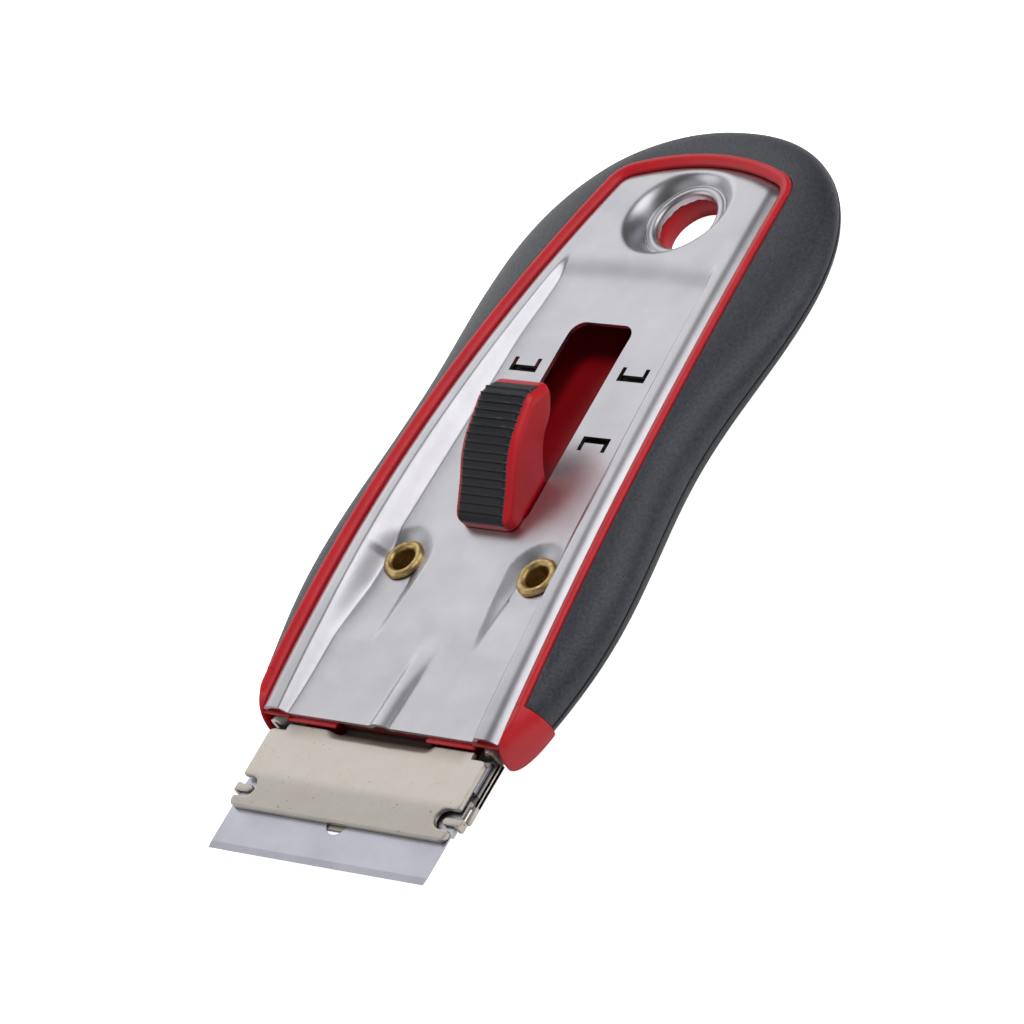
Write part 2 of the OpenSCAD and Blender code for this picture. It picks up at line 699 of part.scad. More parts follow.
// A tubular rivet with a rolled flange in the pocket and a flat foot in the base
module eyelet(side) in_frame() translate([side * eyelet_x, eyelet_y, 0]) rotate_extrude() {
    top = pocket_z + lay_gap;
    roll = eyelet_flange_t / 2;
    translate([eyelet_bore_r, skin_gap]) square([eyelet_wall, top + eyelet_flange_t - skin_gap]);
    translate([eyelet_bore_r, skin_gap]) square([foot_flange_r - eyelet_bore_r, foot_flange_t - skin_gap]);
    translate([eyelet_bore_r, top]) square([eyelet_flange_r - eyelet_bore_r - roll, eyelet_flange_t]);
    translate([eyelet_flange_r - roll, top + roll]) circle(roll);
}
module eyelet_left() color("peru") eyelet(-1);
module eyelet_right() color("peru") eyelet(1);

// A steel strip beside the window, held by a front and a rear tab, with notches for the lock spring
module lock_strip(side) in_frame() difference() {
    y0 = lance_front_y - lock_lap + lay_gap;
    y1 = lance_rear_y + lock_lap - lay_gap;
    in_x = window_half_w + slide_gap;
    mid = (in_x + lock_strip_out_x) / 2;
    intersection() {
        translate([side * mid, 0, 0]) round_box(lock_strip_out_x - mid, y0, y1, lance_w, 0, high_z);
        difference() {
            under_panel(cover_t + lay_gap);
            under_panel(cover_t + lay_gap + lock_strip_t);
        }
    }
    for (i = [1:lock_notches])
        translate([side * in_x, y0 + (y1 - y0) * i / (lock_notches + 1), 0])
            cylinder(r = lock_notch_r, h = high_z);
}
module lock_strip_left() color("gray") lock_strip(-1);
module lock_strip_right() color("gray") lock_strip(1);

// Blade carriage

module ear_profile() {
    in_r = ear_r - sheet_t;
    c = [carrier_half_w - ear_r, ear_top_z - ear_r];
    translate([carrier_half_w - sheet_t, carrier_z]) square([sheet_t, c.y - carrier_z]);
    translate([ear_in_x, ear_top_z - sheet_t]) square([c.x - ear_in_x, sheet_t]);
    translate(c) difference() {
        circle(ear_r);
        circle(in_r);
        translate([-over, -over]) square([over, over * 2]);
        translate([-over, -over]) square([over * 2, over]);
    }
}

module blade_carrier() color("silver") in_frame() difference() {
    carrier_body();
    each_side() rivet_bore(clamp_rivet_x, clamp_rivet_y);
    rivet_bore(0, bracket_rivet_y);
}
module carrier_body() {
    each_side() {
        // Floor under the blade, side wall, ear and arm
        block([0, -land_back, carrier_z], [carrier_half_w, -ear_reach, carrier_top_z]);
        block([arm_in_x, -ear_reach, carrier_z], [carrier_half_w, arm_len, carrier_top_z]);
        block([carrier_half_w - sheet_t, -carrier_reach, blade_low_z - sheet_t],
            [carrier_half_w, -land_back, wall_top_z]);
        block([carrier_half_w - sheet_t, -land_back, carrier_z], [carrier_half_w, -ear_reach, lip_top_z]);
        translate([0, arm_len, 0]) rotate([90, 0, 0]) linear_extrude(arm_len + ear_reach) ear_profile();
        // Raised land and its riser
        block([0, -carrier_reach, blade_low_z - sheet_t], [carrier_half_w, -land_back, blade_low_z]);
        block([0, -land_back - sheet_t, carrier_z], [carrier_half_w, -land_back, blade_low_z]);
        // Hooked lug over the blade
        block([lug_in_x + lug_w / 2, -lug_back - lug_w / 2, blade_top_z + lay_gap],
            [carrier_half_w, -lug_back + lug_w / 2, lug_top_z]);
        translate([lug_in_x + lug_w / 2, -lug_back, blade_top_z + lay_gap])
            cylinder(r = lug_w / 2, h = lug_top_z - blade_top_z - lay_gap);
    }
    block([-tail_half_w, -ear_reach, carrier_z], [tail_half_w, tail_end_y, carrier_top_z]);
}

module clamp_plate() color("lightgray") in_frame() difference() {
    clamp_body();
    each_side() rivet_bore(clamp_rivet_x, clamp_rivet_y);
}
module clamp_body() {
    low_z = spine_top_z;
    foot_z = carrier_top_z;
    intersection() {
        rotate([90, 0, 90]) translate([0, 0, -clamp_half_w]) linear_extrude(clamp_half_w * 2)
            polygon([[-clamp_reach, blade_top_z + lay_gap], [-clamp_bend, low_z], [over, low_z],
                [over, low_z + sheet_t], [-clamp_bend, low_z + sheet_t],
                [-clamp_reach, blade_top_z + lay_gap + sheet_t]]);
        difference() {
            union() {
                round_box(clamp_half_w, -clamp_reach, -ear_reach - clamp_corner_r, clamp_corner_r, 0, high_z);
                block([-ear_in_x + slide_gap, -clamp_reach / 2, 0],
                    [ear_in_x - slide_gap, -ear_reach, high_z]);
                block([-tail_half_w, -clamp_reach / 2, 0], [tail_half_w, web_y + sheet_t, high_z]);
            }
            each_side() block([notch_in_x + notch_w / 2, -lug_back - notch_w / 2, 0],
                [over + clamp_half_w, -lug_back + notch_w / 2, high_z]);
            each_side() translate([notch_in_x + notch_w / 2, -lug_back, 0])
                cylinder(r = notch_w / 2, h = high_z);
        }
    }
    block([-tail_half_w, web_y, foot_z], [tail_half_w, web_y + sheet_t, low_z + sheet_t]);
    block([-tail_half_w, web_y, foot_z], [tail_half_w, web_y + tongue_len, foot_z + sheet_t]);
}

// A small rivet through sheets from low_z to high_z, with its head on top
module small_rivet(x, y, low_z, top_z) translate([x, y, 0]) {
    translate([0, 0, low_z]) cylinder(r = rivet_r, h = top_z - low_z + rivet_head_h / 2);
    translate([0, 0, top_z])
        cylinder(r1 = rivet_head_r, r2 = rivet_head_r - rivet_head_h / 2, h = rivet_head_h);
}
module rivet_bore(x, y) translate([x, y, carrier_z - sheet_t]) cylinder(r = rivet_r, h = sheet_t * 4);

module razor_blade() color("lightsteelblue") in_frame() difference() {
    back_y = blade_back_y - (spine_t - blade_t) / 2;
    rotate([90, 0, 90]) translate([0, 0, -blade_len / 2]) linear_extrude(blade_len)
        polygon([[-blade_reach, blade_z], [-blade_reach + bevel_depth, blade_low_z], [back_y, blade_low_z],
            [back_y, blade_top_z], [-blade_reach + bevel_depth, blade_top_z]]);
    each_side() translate([blade_len / 2, blade_back_y - spine_depth - blade_notch_r, 0])
        cylinder(r = blade_notch_r, h = high_z);
    translate([0, -blade_hole_back, 0]) cylinder(r = blade_hole_r, h = high_z);
}

module blade_spine() color("slategray") in_frame() difference() {
    leg = (spine_t - blade_t) / 2;
    r = spine_t / 2;
    rotate([90, 0, 90]) translate([0, 0, -blade_len / 2]) linear_extrude(blade_len) {
        translate([blade_back_y - spine_depth, spine_low_z]) square([spine_depth - r, spine_t]);
        translate([blade_back_y - r, blade_z]) circle(r);
    }
    block([-blade_len, -blade_reach, blade_low_z], [blade_len, blade_back_y - leg, blade_top_z]);
}

// Bracket, spring and button

module button_bracket() color("silver") in_frame() difference() {
    foot_z = carrier_top_z;
    union() {
        block([-bracket_half_w, bracket_front_y, foot_z],
            [bracket_half_w, pivot_y + bracket_ear_reach, foot_z + bracket_t]);
        each_side() {
            block([bracket_half_w - bracket_t, pivot_y - bracket_ear_reach, foot_z],
                [bracket_half_w, pivot_y + bracket_ear_reach, pivot_z]);
            translate([bracket_half_w - bracket_t, pivot_y, pivot_z]) rotate([0, 90, 0])
                cylinder(r = bracket_top_z - pivot_z, h = bracket_t);
        }
    }
    translate([-over, pivot_y, pivot_z]) rotate([0, 90, 0]) cylinder(r = pivot_r + pivot_gap, h = over * 2);
    rivet_bore(0, bracket_rivet_y);
}

module lock_spring() color("lightgray") in_frame() difference() {
    foot_z = carrier_top_z + bracket_t;
    tip_z = heel_z - lay_gap * 2;
    rotate([90, 0, 90]) translate([0, 0, -spring_half_w]) linear_extrude(spring_half_w * 2)
        polygon([[bracket_front_y, foot_z], [spring_bend_y, foot_z], [spring_touch_y, tip_z - spring_t],
            [heel_y, tip_z - spring_t], [heel_y, tip_z], [spring_touch_y, tip_z],
            [spring_bend_y, foot_z + spring_t], [bracket_front_y, foot_z + spring_t]]);
    rivet_bore(0, bracket_rivet_y);
}

// Side view of the button, as shares of its length and height
button_side_shares = [[0, 0], [0, 0.18], [0.107, 0.34], [0.216, 0.49], [0.353, 0.7], [0.468, 0.82],
    [0.562, 0.883], [0.726, 0.965], [0.819, 1], [0.907, 0.936], [1, 0.84], [0.973, 0.75], [0.896, 0.628],
    [0.753, 0.521], [0.633, 0.351], [0.54, 0.17], [0.463, 0]];
// The button's points that the pad covers, first and last
pad_first = 1;
pad_last = 9;

function button_point(s) = [button_front_y + s[0] * button_len, button_z + s[1] * button_h];
button_side = [for (s = button_side_shares) button_point(s)];
pad_shift = pad_t * [0.5, -0.86];

module button_profile(move) translate(move) polygon(button_side);
module across(half_w) rotate([90, 0, 90]) translate([0, 0, -half_w]) linear_extrude(half_w * 2) children();

// The pad lies between the button's side view and the same view moved inwards
module pad_profile(grow) difference() {
    intersection() {
        button_profile([0, 0]);
        translate([button_front_y, button_z + pad_t]) square([button_len, button_h]);
    }
    button_profile(pad_shift * (1 + grow));
    translate([button_front_y + button_len - pad_t, button_z]) square([pad_t, button_h]);
}

module slide_button() color("firebrick") in_frame() difference() {
    union() {
        across(button_half_w) button_profile([0, 0]);
        block([-neck_half_w, neck_front_y, neck_z], [neck_half_w, neck_front_y + neck_len, button_z + pad_t]);
        block([-tongue_half_w, pivot_y - bracket_ear_reach, tongue_z],
            [tongue_half_w, pivot_y + bracket_ear_reach, button_z]);
        block([-tongue_half_w, pivot_y, heel_z], [tongue_half_w, heel_y, neck_z + pad_t]);
    }
    across(pad_half_w + skin_gap) pad_profile(skin_gap);
    translate([-over, pivot_y, pivot_z]) rotate([0, 90, 0]) cylinder(r = pivot_r + pivot_gap, h = over * 2);
}

module button_pad() color("black") in_frame() {
    across(pad_half_w) pad_profile(0);
    for (i = [1:pad_ribs]) {
        share = (i - 0.5) / pad_ribs * (pad_last - pad_first - 1);
        k = pad_first + floor(share);
        p = button_side[k] + (button_side[k + 1] - button_side[k]) * (share - floor(share));
        translate([-pad_half_w, p.x, p.y]) rotate([0, 90, 0]) cylinder(r = pad_rib_r, h = pad_half_w * 2);
    }
}

module pivot_pin() color("silver") in_frame() translate([-bracket_half_w - bracket_t / 2, pivot_y, pivot_z])
    rotate([0, 90, 0]) cylinder(r = pivot_r, h = bracket_half_w * 2 + bracket_t);

module clamp_rivet(side) in_frame() small_rivet(side * clamp_rivet_x, clamp_rivet_y, carrier_z,
    carrier_top_z + sheet_t);
module clamp_rivet_left() color("gray") clamp_rivet(-1);
module clamp_rivet_right() color("gray") clamp_rivet(1);
module bracket_rivet() color("gray") in_frame()
    small_rivet(0, bracket_rivet_y, carrier_z, carrier_top_z + bracket_t + spring_t);

housing();
base_shell();
grip();
cover_plate();
eyelet_left();
eyelet_right();
lock_strip_left();
lock_strip_right();
blade_carrier();
clamp_plate();
clamp_rivet_left();
clamp_rivet_right();
razor_blade();
blade_spine();
button_bracket();
bracket_rivet();
lock_spring();
slide_button();
button_pad();
pivot_pin();
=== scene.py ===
from contextlib import contextmanager
from math import asin, atan2, ceil, cos, exp, hypot, pi, radians, sin, sqrt

import bmesh
import bpy
import numpy as np
from mathutils import Matrix, Vector
from mathutils.geometry import delaunay_2d_cdt


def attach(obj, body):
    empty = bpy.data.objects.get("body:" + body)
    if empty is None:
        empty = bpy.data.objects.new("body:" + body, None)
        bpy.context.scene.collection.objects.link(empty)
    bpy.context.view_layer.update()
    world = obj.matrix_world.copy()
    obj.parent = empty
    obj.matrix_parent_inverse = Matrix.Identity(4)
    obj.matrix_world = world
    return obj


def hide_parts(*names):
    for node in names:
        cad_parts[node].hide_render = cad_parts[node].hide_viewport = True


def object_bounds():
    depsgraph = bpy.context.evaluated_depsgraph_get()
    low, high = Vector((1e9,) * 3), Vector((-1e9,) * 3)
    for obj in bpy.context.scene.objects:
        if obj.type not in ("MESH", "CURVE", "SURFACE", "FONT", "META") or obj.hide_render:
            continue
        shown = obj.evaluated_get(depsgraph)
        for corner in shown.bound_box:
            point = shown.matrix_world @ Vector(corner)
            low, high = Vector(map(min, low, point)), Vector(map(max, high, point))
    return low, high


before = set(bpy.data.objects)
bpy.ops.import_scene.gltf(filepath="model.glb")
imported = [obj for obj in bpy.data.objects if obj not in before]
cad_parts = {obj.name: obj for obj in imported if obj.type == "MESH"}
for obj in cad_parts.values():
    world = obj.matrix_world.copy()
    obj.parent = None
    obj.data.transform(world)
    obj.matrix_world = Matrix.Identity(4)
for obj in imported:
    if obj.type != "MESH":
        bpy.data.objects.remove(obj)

CAD_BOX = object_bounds()

# Lengths are millimetres until a mesh is made, and y is measured from the cover's front edge
MM = 0.001
FRAME_Y = -40.7
QUARTER = pi / 2
WELD = 0.004

# Cutters reach from under the handle to above it
CUT_LOW = -2.0
CUT_HIGH = 14.0

# Outline of the handle
NOSE_HALF_W = 22.6
SHOULDER_HALF_W = 27.2
WAIST_HALF_W = 25.1
HIP_HALF_W = 27.15
NOSE_REACH = 1.5
NOSE_TIP = 1.15
NOSE_ROUND_Y = 5.3
NOSE_SHOULDER = 1.3
NOSE_Z = 2.3
SHOULDER_Y = 22.0
WAIST_Y = 47.5
HIP_Y = 73.0
TAIL_LEN = 28.5
TAIL_POWER = 2.2
GRIP_FRONT_Y = 5.5
GRIP_GAP = 0.04
SKIN_FRONT_Y = GRIP_FRONT_Y + GRIP_GAP
OUTLINE_STEP = 0.9

# Heights of the handle
ARCH_FRONT_R = 280.0
ARCH_REAR_R = 350.0
ARCH_Y = 41.0
RIM_CREST_Z = 9.7
RAIL_CREST_Z = 9.6
SEAM_LOW_Z = 2.8
SEAM_HIGH_Z = 4.2
SEAM_CREST_Y = 34.0
SEAM_FRONT_LEN = 34.0
SEAM_REAR_LEN = 62.0
SEAM_GAP = 0.12
UNDER_ROUND_W = 8.0
FLOOR_Z = 1.6
BASE_T = 0.9
TRAY_FRONT_Y = 5.0

# Rim round the cover, and the rounded top of its inner wall as distance and height from the crest
COVER_GAP = 0.12
RIM_OUT = 1.85
RIM_DROP = 0.4
RIM_LEAN = 0.45
RIM_DEPTH = 5.2
RIM_INSIDE = [(0.0, -RIM_LEAN - 0.25), (0.05, -RIM_LEAN - 0.1), (0.2, -RIM_LEAN + 0.02)]

# Cover's outline
COVER_HALF_W = 20.8
COVER_LEN = 94.0
COVER_T = 0.6
SIDE_R = 610.0
REAR_R = 32.4
CORNER_R = 3.0

# Cover's section
PANEL_FRONT_Z = 6.1
PANEL_R = 3420.0
PANEL_CREST_Y = 108.0
EDGE_ROUND_R = 2.0
EDGE_DROP = 0.95
SLOPE_IN = 2.8
SLOPE_FRONT = 0.6
SLOPE_FRONT_LEN = 42.0
SLOPE_TAN = 0.9
FRONT_LIFT = 0.2
FRONT_DIP = 0.35
FRONT_FADE = 18.0
REAR_SINK = 0.42
REAR_SINK_Y = 60.0
REAR_SINK_LEN = 12.0
LOBE_Y = 74.6
LOBE_BOW = 1.6
LOBE_W = 5.2

# Openings in the cover
WINDOW_HALF_W = 5.4
WINDOW_FRONT_Y = 32.3
WINDOW_REAR_Y = 65.0
WINDOW_R = 2.1
LANCE_IN_X = 7.15
LANCE_OUT_X = 11.9
LANCE_LEN = 1.75
LANCE_W = 0.7
LANCE_BAR_W = 1.0
LANCE_FRONT_Y = 46.5
LANCE_REAR_Y = 56.6

# Eyelets and their pockets
EYELET_X = 11.8
EYELET_Y = 25.3
EYELET_BORE_R = 1.7
EYELET_FLANGE_R = 3.05
POCKET_R = 5.0
POCKET_DEPTH = 0.85
POCKET_TIP_Y = 12.3
POCKET_LINE_X = 8.3
POCKET_RAMP_LEN = 8.5
POCKET_WALL = 2.4
POCKET_WALL_FRONT = 0.6

# Hanging hole
HOLE_Y = 85.0
THROAT_R = 4.6
THROAT_FALLS = (0.12, 0.3, 0.5)
DIMPLE_R = 8.7
DIMPLE_FOOT_R = 5.9
DIMPLE_FOOT_Z = 3.9
COLLAR_R = 5.35
COLLAR_W = 0.85
COLLAR_H = 0.8

# Short rib at the front edge
RIB_HALF_W = 1.75
RIB_LEN = 14.5
RIB_DRIFT = 0.1
RIB_H = 0.55


def step(t):
    """Smooth step from 0 to 1."""
    t = np.clip(t, 0.0, 1.0)
    return t * t * (3.0 - 2.0 * t)


def share_of(value, low, high):
    """How far a value has gone from low to high, from 0 to 1."""
    return np.clip((value - low) / (high - low), 0, 1)


# Shapes shared by the handle's pieces

def arch_z(crest, y):
    radius = np.where(np.asarray(y) < ARCH_Y, ARCH_FRONT_R, ARCH_REAR_R)
    return crest - radius + np.sqrt(radius ** 2 - (y - ARCH_Y) ** 2)


def panel_z(y):
    low = PANEL_FRONT_Z - sqrt(PANEL_R ** 2 - PANEL_CREST_Y ** 2)
    return low + np.sqrt(PANEL_R ** 2 - (y - PANEL_CREST_Y) ** 2)


def seam_z(y):
    length = SEAM_FRONT_LEN if y < SEAM_CREST_Y else SEAM_REAR_LEN
    share = min(1.0, abs(y - SEAM_CREST_Y) / length)
    return SEAM_LOW_Z + (SEAM_HIGH_Z - SEAM_LOW_Z) * cos(QUARTER * share) ** 2


def circle_meet(c1, r1, c2, r2):
    """The upper meeting point of two circles."""
    gap = c2 - c1
    length = np.linalg.norm(gap)
    along = (r1 * r1 - r2 * r2 + length * length) / (2 * length)
    up = sqrt(r1 * r1 - along * along)
    way = gap / length
    return c1 + along * way + up * np.array([-way[1], way[0]])


SIDE_C = np.array([COVER_HALF_W - SIDE_R, 0.0])
REAR_C = np.array([0.0, COVER_LEN - REAR_R])
CORNER_C = circle_meet(SIDE_C, SIDE_R - CORNER_R, REAR_C, REAR_R - CORNER_R)
SIDE_END = atan2(CORNER_C[1] - SIDE_C[1], CORNER_C[0] - SIDE_C[0])
REAR_START = atan2(CORNER_C[1] - REAR_C[1], CORNER_C[0] - REAR_C[0])


def side_x(y, out=0.0):
    return SIDE_C[0] + np.sqrt((SIDE_R + out) ** 2 - y ** 2)


def arc(centre, radius, start, end, steps):
    """Points of an arc with both its ends."""
    angles = np.linspace(start, end, steps + 1)
    return [(centre[0] + radius * cos(a), centre[1] + radius * sin(a)) for a in angles]


def circle(x, y, r, n):
    return arc((x, y), r, 0, 2 * pi, n)[:-1]


def mirrored(points):
    return [(-p[0], *p[1:]) for p in points]


def whole_edge(half):
    """A line from the right side to the middle, carried on to the left side."""
    return half + mirrored(half[-2::-1])


def half_edge(out, y0=SKIN_FRONT_Y, spacing=OUTLINE_STEP):
    """The right half of the cover's outline, set outwards, from y0 to the middle of the tail."""
    y1 = (SIDE_R + out) * sin(SIDE_END)
    steps = max(2, int((y1 - y0) / spacing))
    points = [(float(side_x(y, out)), y) for y in np.linspace(y0, y1, steps + 1)]
    points += arc(CORNER_C, CORNER_R + out, SIDE_END, REAR_START, 10)[1:]
    points += arc(REAR_C, REAR_R + out, REAR_START, QUARTER, max(4, int(14 / spacing)))[1:]
    points[-1] = (0.0, points[-1][1])
    return points


def swing(y, y0, w0, y1, w1):
    """A width that swings from one value to the next."""
    return w1 + (w0 - w1) * (1 + cos(pi * (y - y0) / (y1 - y0))) / 2


def handle_x(y):
    """Half width of the handle, in front of the tail."""
    if y < SHOULDER_Y:
        share = (y + NOSE_REACH) / (SHOULDER_Y + NOSE_REACH)
        return NOSE_HALF_W + (SHOULDER_HALF_W - NOSE_HALF_W) * sin(QUARTER * share)
    if y < WAIST_Y:
        return swing(y, SHOULDER_Y, SHOULDER_HALF_W, WAIST_Y, WAIST_HALF_W)
    return swing(y, WAIST_Y, WAIST_HALF_W, HIP_Y, HIP_HALF_W)


def handle_point(p):
    """The handle's widest line beside a point of the rim."""
    if p[1] <= HIP_Y:
        return np.array([handle_x(p[1]), p[1]])
    a = min(QUARTER, atan2(p[1] - HIP_Y, max(0.0, p[0])))
    r = ((cos(a) / HIP_HALF_W) ** TAIL_POWER + (sin(a) / TAIL_LEN) ** TAIL_POWER) ** (-1 / TAIL_POWER)
    return np.array([r * cos(a), HIP_Y + r * sin(a)])


# Mesh making

def add_object(name, data):
    obj = bpy.data.objects.new(name, data)
    bpy.context.scene.collection.objects.link(obj)
    return obj


def mesh_object(name, points, faces):
    """A new object from points in millimetres."""
    mesh = bpy.data.meshes.new(name)
    placed = [(x * MM, (y + FRAME_Y) * MM, z * MM) for x, y, z in points]
    mesh.from_pydata(placed, [], faces)
    mesh.validate()
    return add_object(name, mesh)


@contextmanager
def editing(obj):
    """The object's mesh as a bmesh, written back at the end."""
    bm = bmesh.new()
    bm.from_mesh(obj.data)
    yield bm
    bm.to_mesh(obj.data)
    bm.free()


def clean(obj):
    """Outward normals, and points that lie together made one."""
    with editing(obj) as bm:
        bmesh.ops.remove_doubles(bm, verts=bm.verts, dist=WELD * MM)
        bmesh.ops.recalc_face_normals(bm, faces=bm.faces)


def turn_faces_up(bm):
    bmesh.ops.recalc_face_normals(bm, faces=bm.faces)
    if sum(f.normal.z for f in bm.faces) < 0:
        bmesh.ops.reverse_faces(bm, faces=bm.faces)


def modify(obj, kind, **settings):
    """The object's mesh becomes what a modifier makes of it."""
    mod = obj.modifiers.new(kind, kind)
    for name, value in settings.items():
        setattr(mod, name, value)
    graph = bpy.context.evaluated_depsgraph_get()
    graph.update()
    made = bpy.data.meshes.new_from_object(obj.evaluated_get(graph))
    obj.modifiers.clear()
    old = obj.data
    obj.data = made
    bpy.data.meshes.remove(old)


def bevel(obj, width, segments=3, angle=35):
    modify(obj, "BEVEL", width=width * MM, segments=segments, limit_method="ANGLE",
           angle_limit=radians(angle), use_clamp_overlap=True)


def thicken(obj, thickness):
    modify(obj, "SOLIDIFY", thickness=thickness * MM, offset=-1)


def cut(obj, cutters):
    """Takes the cutters out of the object and deletes them."""
    for cutter in cutters:
        modify(obj, "BOOLEAN", operation="DIFFERENCE", solver="EXACT", object=cutter)
    for cutter in cutters:
        bpy.data.objects.remove(cutter)


def join(name, pieces):
    """One object from several, each a closed shell of its own."""
    bm = bmesh.new()
    for piece in pieces:
        bm.from_mesh(piece.data)
    mesh = bpy.data.meshes.new(name)
    bm.to_mesh(mesh)
    bm.free()
    for piece in pieces:
        bpy.data.objects.remove(piece)
    return add_object(name, mesh)


def dress(obj, body, material, nodes, sharp=40):
    """Smooth shading, the material, and the piece's place in the frame."""
    obj.data.materials.clear()
    obj.data.materials.append(material)
    obj.data.shade_smooth()
    obj.data.set_sharp_from_angle(angle=radians(sharp))
    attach(obj, body)
    if nodes:
        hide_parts(*nodes)


def row_faces(rows, n, closed=True):
    """Faces between rows of n points each."""
    faces = []
    for i in range(rows - 1):
        for j in range(n if closed else n - 1):
            k = (j + 1) % n
            faces.append((i * n + j, i * n + k, (i + 1) * n + k, (i + 1) * n + j))
    return faces


def across_faces(start, n):
    """Faces from side to side over a ring that is alike on both sides."""
    return [(start + j, start + j + 1, start + n - 2 - j, start + n - 1 - j) for j in range((n - 1) // 2)]


def loft(name, rings, caps=True):
    """Skin over a row of rings that have the same number of points."""
    n = len(rings[0])
    faces = row_faces(len(rings), n)
    if caps:
        faces.append(tuple(range(n - 1, -1, -1)))
        faces.append(tuple((len(rings) - 1) * n + j for j in range(n)))
    obj = mesh_object(name, [p for ring in rings for p in ring], faces)
    clean(obj)
    return obj


def prism(name, outline, z0=CUT_LOW, z1=CUT_HIGH):
    """A straight prism over an outline, between two heights."""
    return loft(name, [[(x, y, z) for x, y in outline] for z in (z0, z1)])


def box(name, low, high):
    outline = [(low[0], low[1]), (high[0], low[1]), (high[0], high[1]), (low[0], high[1])]
    return prism(name, outline, low[2], high[2])


def side_box(name, side, low, high):
    """A box given for the right side, put on the right or the left."""
    a, b = sorted((side * low[0], side * high[0]))
    return box(name, (a, *low[1:]), (b, *high[1:]))


def spin(name, x, y, profile, n):
    """A closed profile of radius and height, turned about a vertical axis."""
    rings = [[(x + r * cos(a), y + r * sin(a), z) for r, z in profile] for a in np.arange(n) * 2 * pi / n]
    return loft(name, rings + rings[:1], caps=False)


def inside(points, loop):
    """Which points lie inside a closed loop."""
    x, y = points[:, 0], points[:, 1]
    found = np.zeros(len(points), bool)
    previous = loop[-1]
    for corner in loop:
        crosses = (corner[1] > y) != (previous[1] > y)
        rise = previous[1] - corner[1]
        if rise:
            at = (previous[0] - corner[0]) * (y - corner[1]) / rise + corner[0]
            found ^= crosses & (x < at)
        previous = corner
    return found


def in_sheet(points, outline, holes):
    """Which points lie inside an outline and outside its holes."""
    found = inside(points, outline)
    for hole in holes:
        found &= ~inside(points, hole)
    return found


def resample(loop, spacing):
    """A closed loop with points no further apart than spacing."""
    out = []
    for i, p in enumerate(loop):
        q = loop[(i + 1) % len(loop)]
        count = max(1, int(ceil(hypot(q[0] - p[0], q[1] - p[1]) / spacing)))
        out += [(p[0] + (q[0] - p[0]) * k / count, p[1] + (q[1] - p[1]) * k / count) for k in range(count)]
    return out


def sheet(name, outline, holes, seeds, height, margin=0.14):
    """A sheet over an outline with holes. Its height at each point is a function."""
    fixed = []
    edges = []
    for loop in [outline] + holes:
        start = len(fixed)
        fixed += loop
        edges += [(start + i, start + (i + 1) % len(loop)) for i in range(len(loop))]
    edge_points = np.array(fixed)
    seeds = np.array(seeds)
    seeds = seeds[in_sheet(seeds, outline, holes)]
    batch = 2000
    near = np.zeros(len(seeds), bool)
    for start in range(0, len(seeds), batch):
        gaps = seeds[start:start + batch, None, :] - edge_points[None, :, :]
        near[start:start + batch] = (gaps ** 2).sum(2).min(1) < margin ** 2
    flat = [Vector(p) for p in fixed] + [Vector(p) for p in seeds[~near]]
    verts, _, faces, _, _, _ = delaunay_2d_cdt(flat, edges, [], 0, 1e-6)
    plan = np.array([(v.x, v.y) for v in verts])
    faces = np.array(faces)
    keep = in_sheet(plan[faces].mean(1), outline, holes)
    points = np.column_stack([plan, height(plan[:, 0], plan[:, 1])])
    obj = mesh_object(name, points.tolist(), faces[keep].tolist())
    with editing(obj) as bm:
        bmesh.ops.delete(bm, geom=[v for v in bm.verts if not v.link_faces], context="VERTS")
        turn_faces_up(bm)
    return obj


# Material making

class Nodes:
    """Adds shader nodes to a tree."""

    def __init__(self, tree):
        self.tree = tree

    def feed(self, socket, value):
        """Links another node's output to a socket, or sets the socket's value."""
        if isinstance(value, bpy.types.NodeSocket):
            self.tree.links.new(value, socket)
        else:
            socket.default_value = (*value, 1.0) if socket.type == "RGBA" else value

    def add(self, kind, inputs=None, **settings):
        node = self.tree.nodes.new("ShaderNode" + kind)
        for name, value in settings.items():
            setattr(node, name, value)
        for key, value in (inputs or {}).items():
            self.feed(node.inputs[key], value)
        return node

    def place(self, stretch=(1.0, 1.0, 1.0), turn=0.0):
        """Object coordinates, turned about Z and stretched."""
        at = self.add("TexCoord").outputs["Object"]
        return self.add("Mapping", {"Vector": at, "Rotation": (0.0, 0.0, turn), "Scale": stretch}).outputs[0]

    def noise(self, size, detail=3.0, rough=0.5, vector=None):
        """Noise whose lumps are about size millimetres wide."""
        inputs = {"Scale": 1.0 / (size * MM), "Detail": detail, "Roughness": rough}
        return self.add("TexNoise", {"Vector": vector or self.place(), **inputs}).outputs["Fac"]

    def math(self, operation, *values):
        return self.add("Math", dict(enumerate(values)), operation=operation).outputs[0]

    def remap(self, value, low, high, to_low=0.0, to_high=1.0, curve="LINEAR"):
        inputs = {"Value": value, "From Min": low, "From Max": high, "To Min": to_low, "To Max": to_high}
        return self.add("MapRange", inputs, interpolation_type=curve).outputs["Result"]

    def ramp(self, value, *stops):
        """Colours along a value, each stop a place and a colour."""
        node = self.add("ValToRGB", {"Fac": value})
        elements = node.color_ramp.elements
        while len(elements) < len(stops):
            elements.new(0.5)
        for element, (at, colour) in zip(elements, stops):
            element.position = at
            element.color = (*colour, 1.0)
        return node.outputs["Color"]

    def mix(self, share, first, second, mode="MIX"):
        """Two colours mixed. Other sockets have the same names, so these go by number."""
        inputs = {0: share, 6: first, 7: second}
        return self.add("Mix", inputs, data_type="RGBA", blend_type=mode).outputs[2]


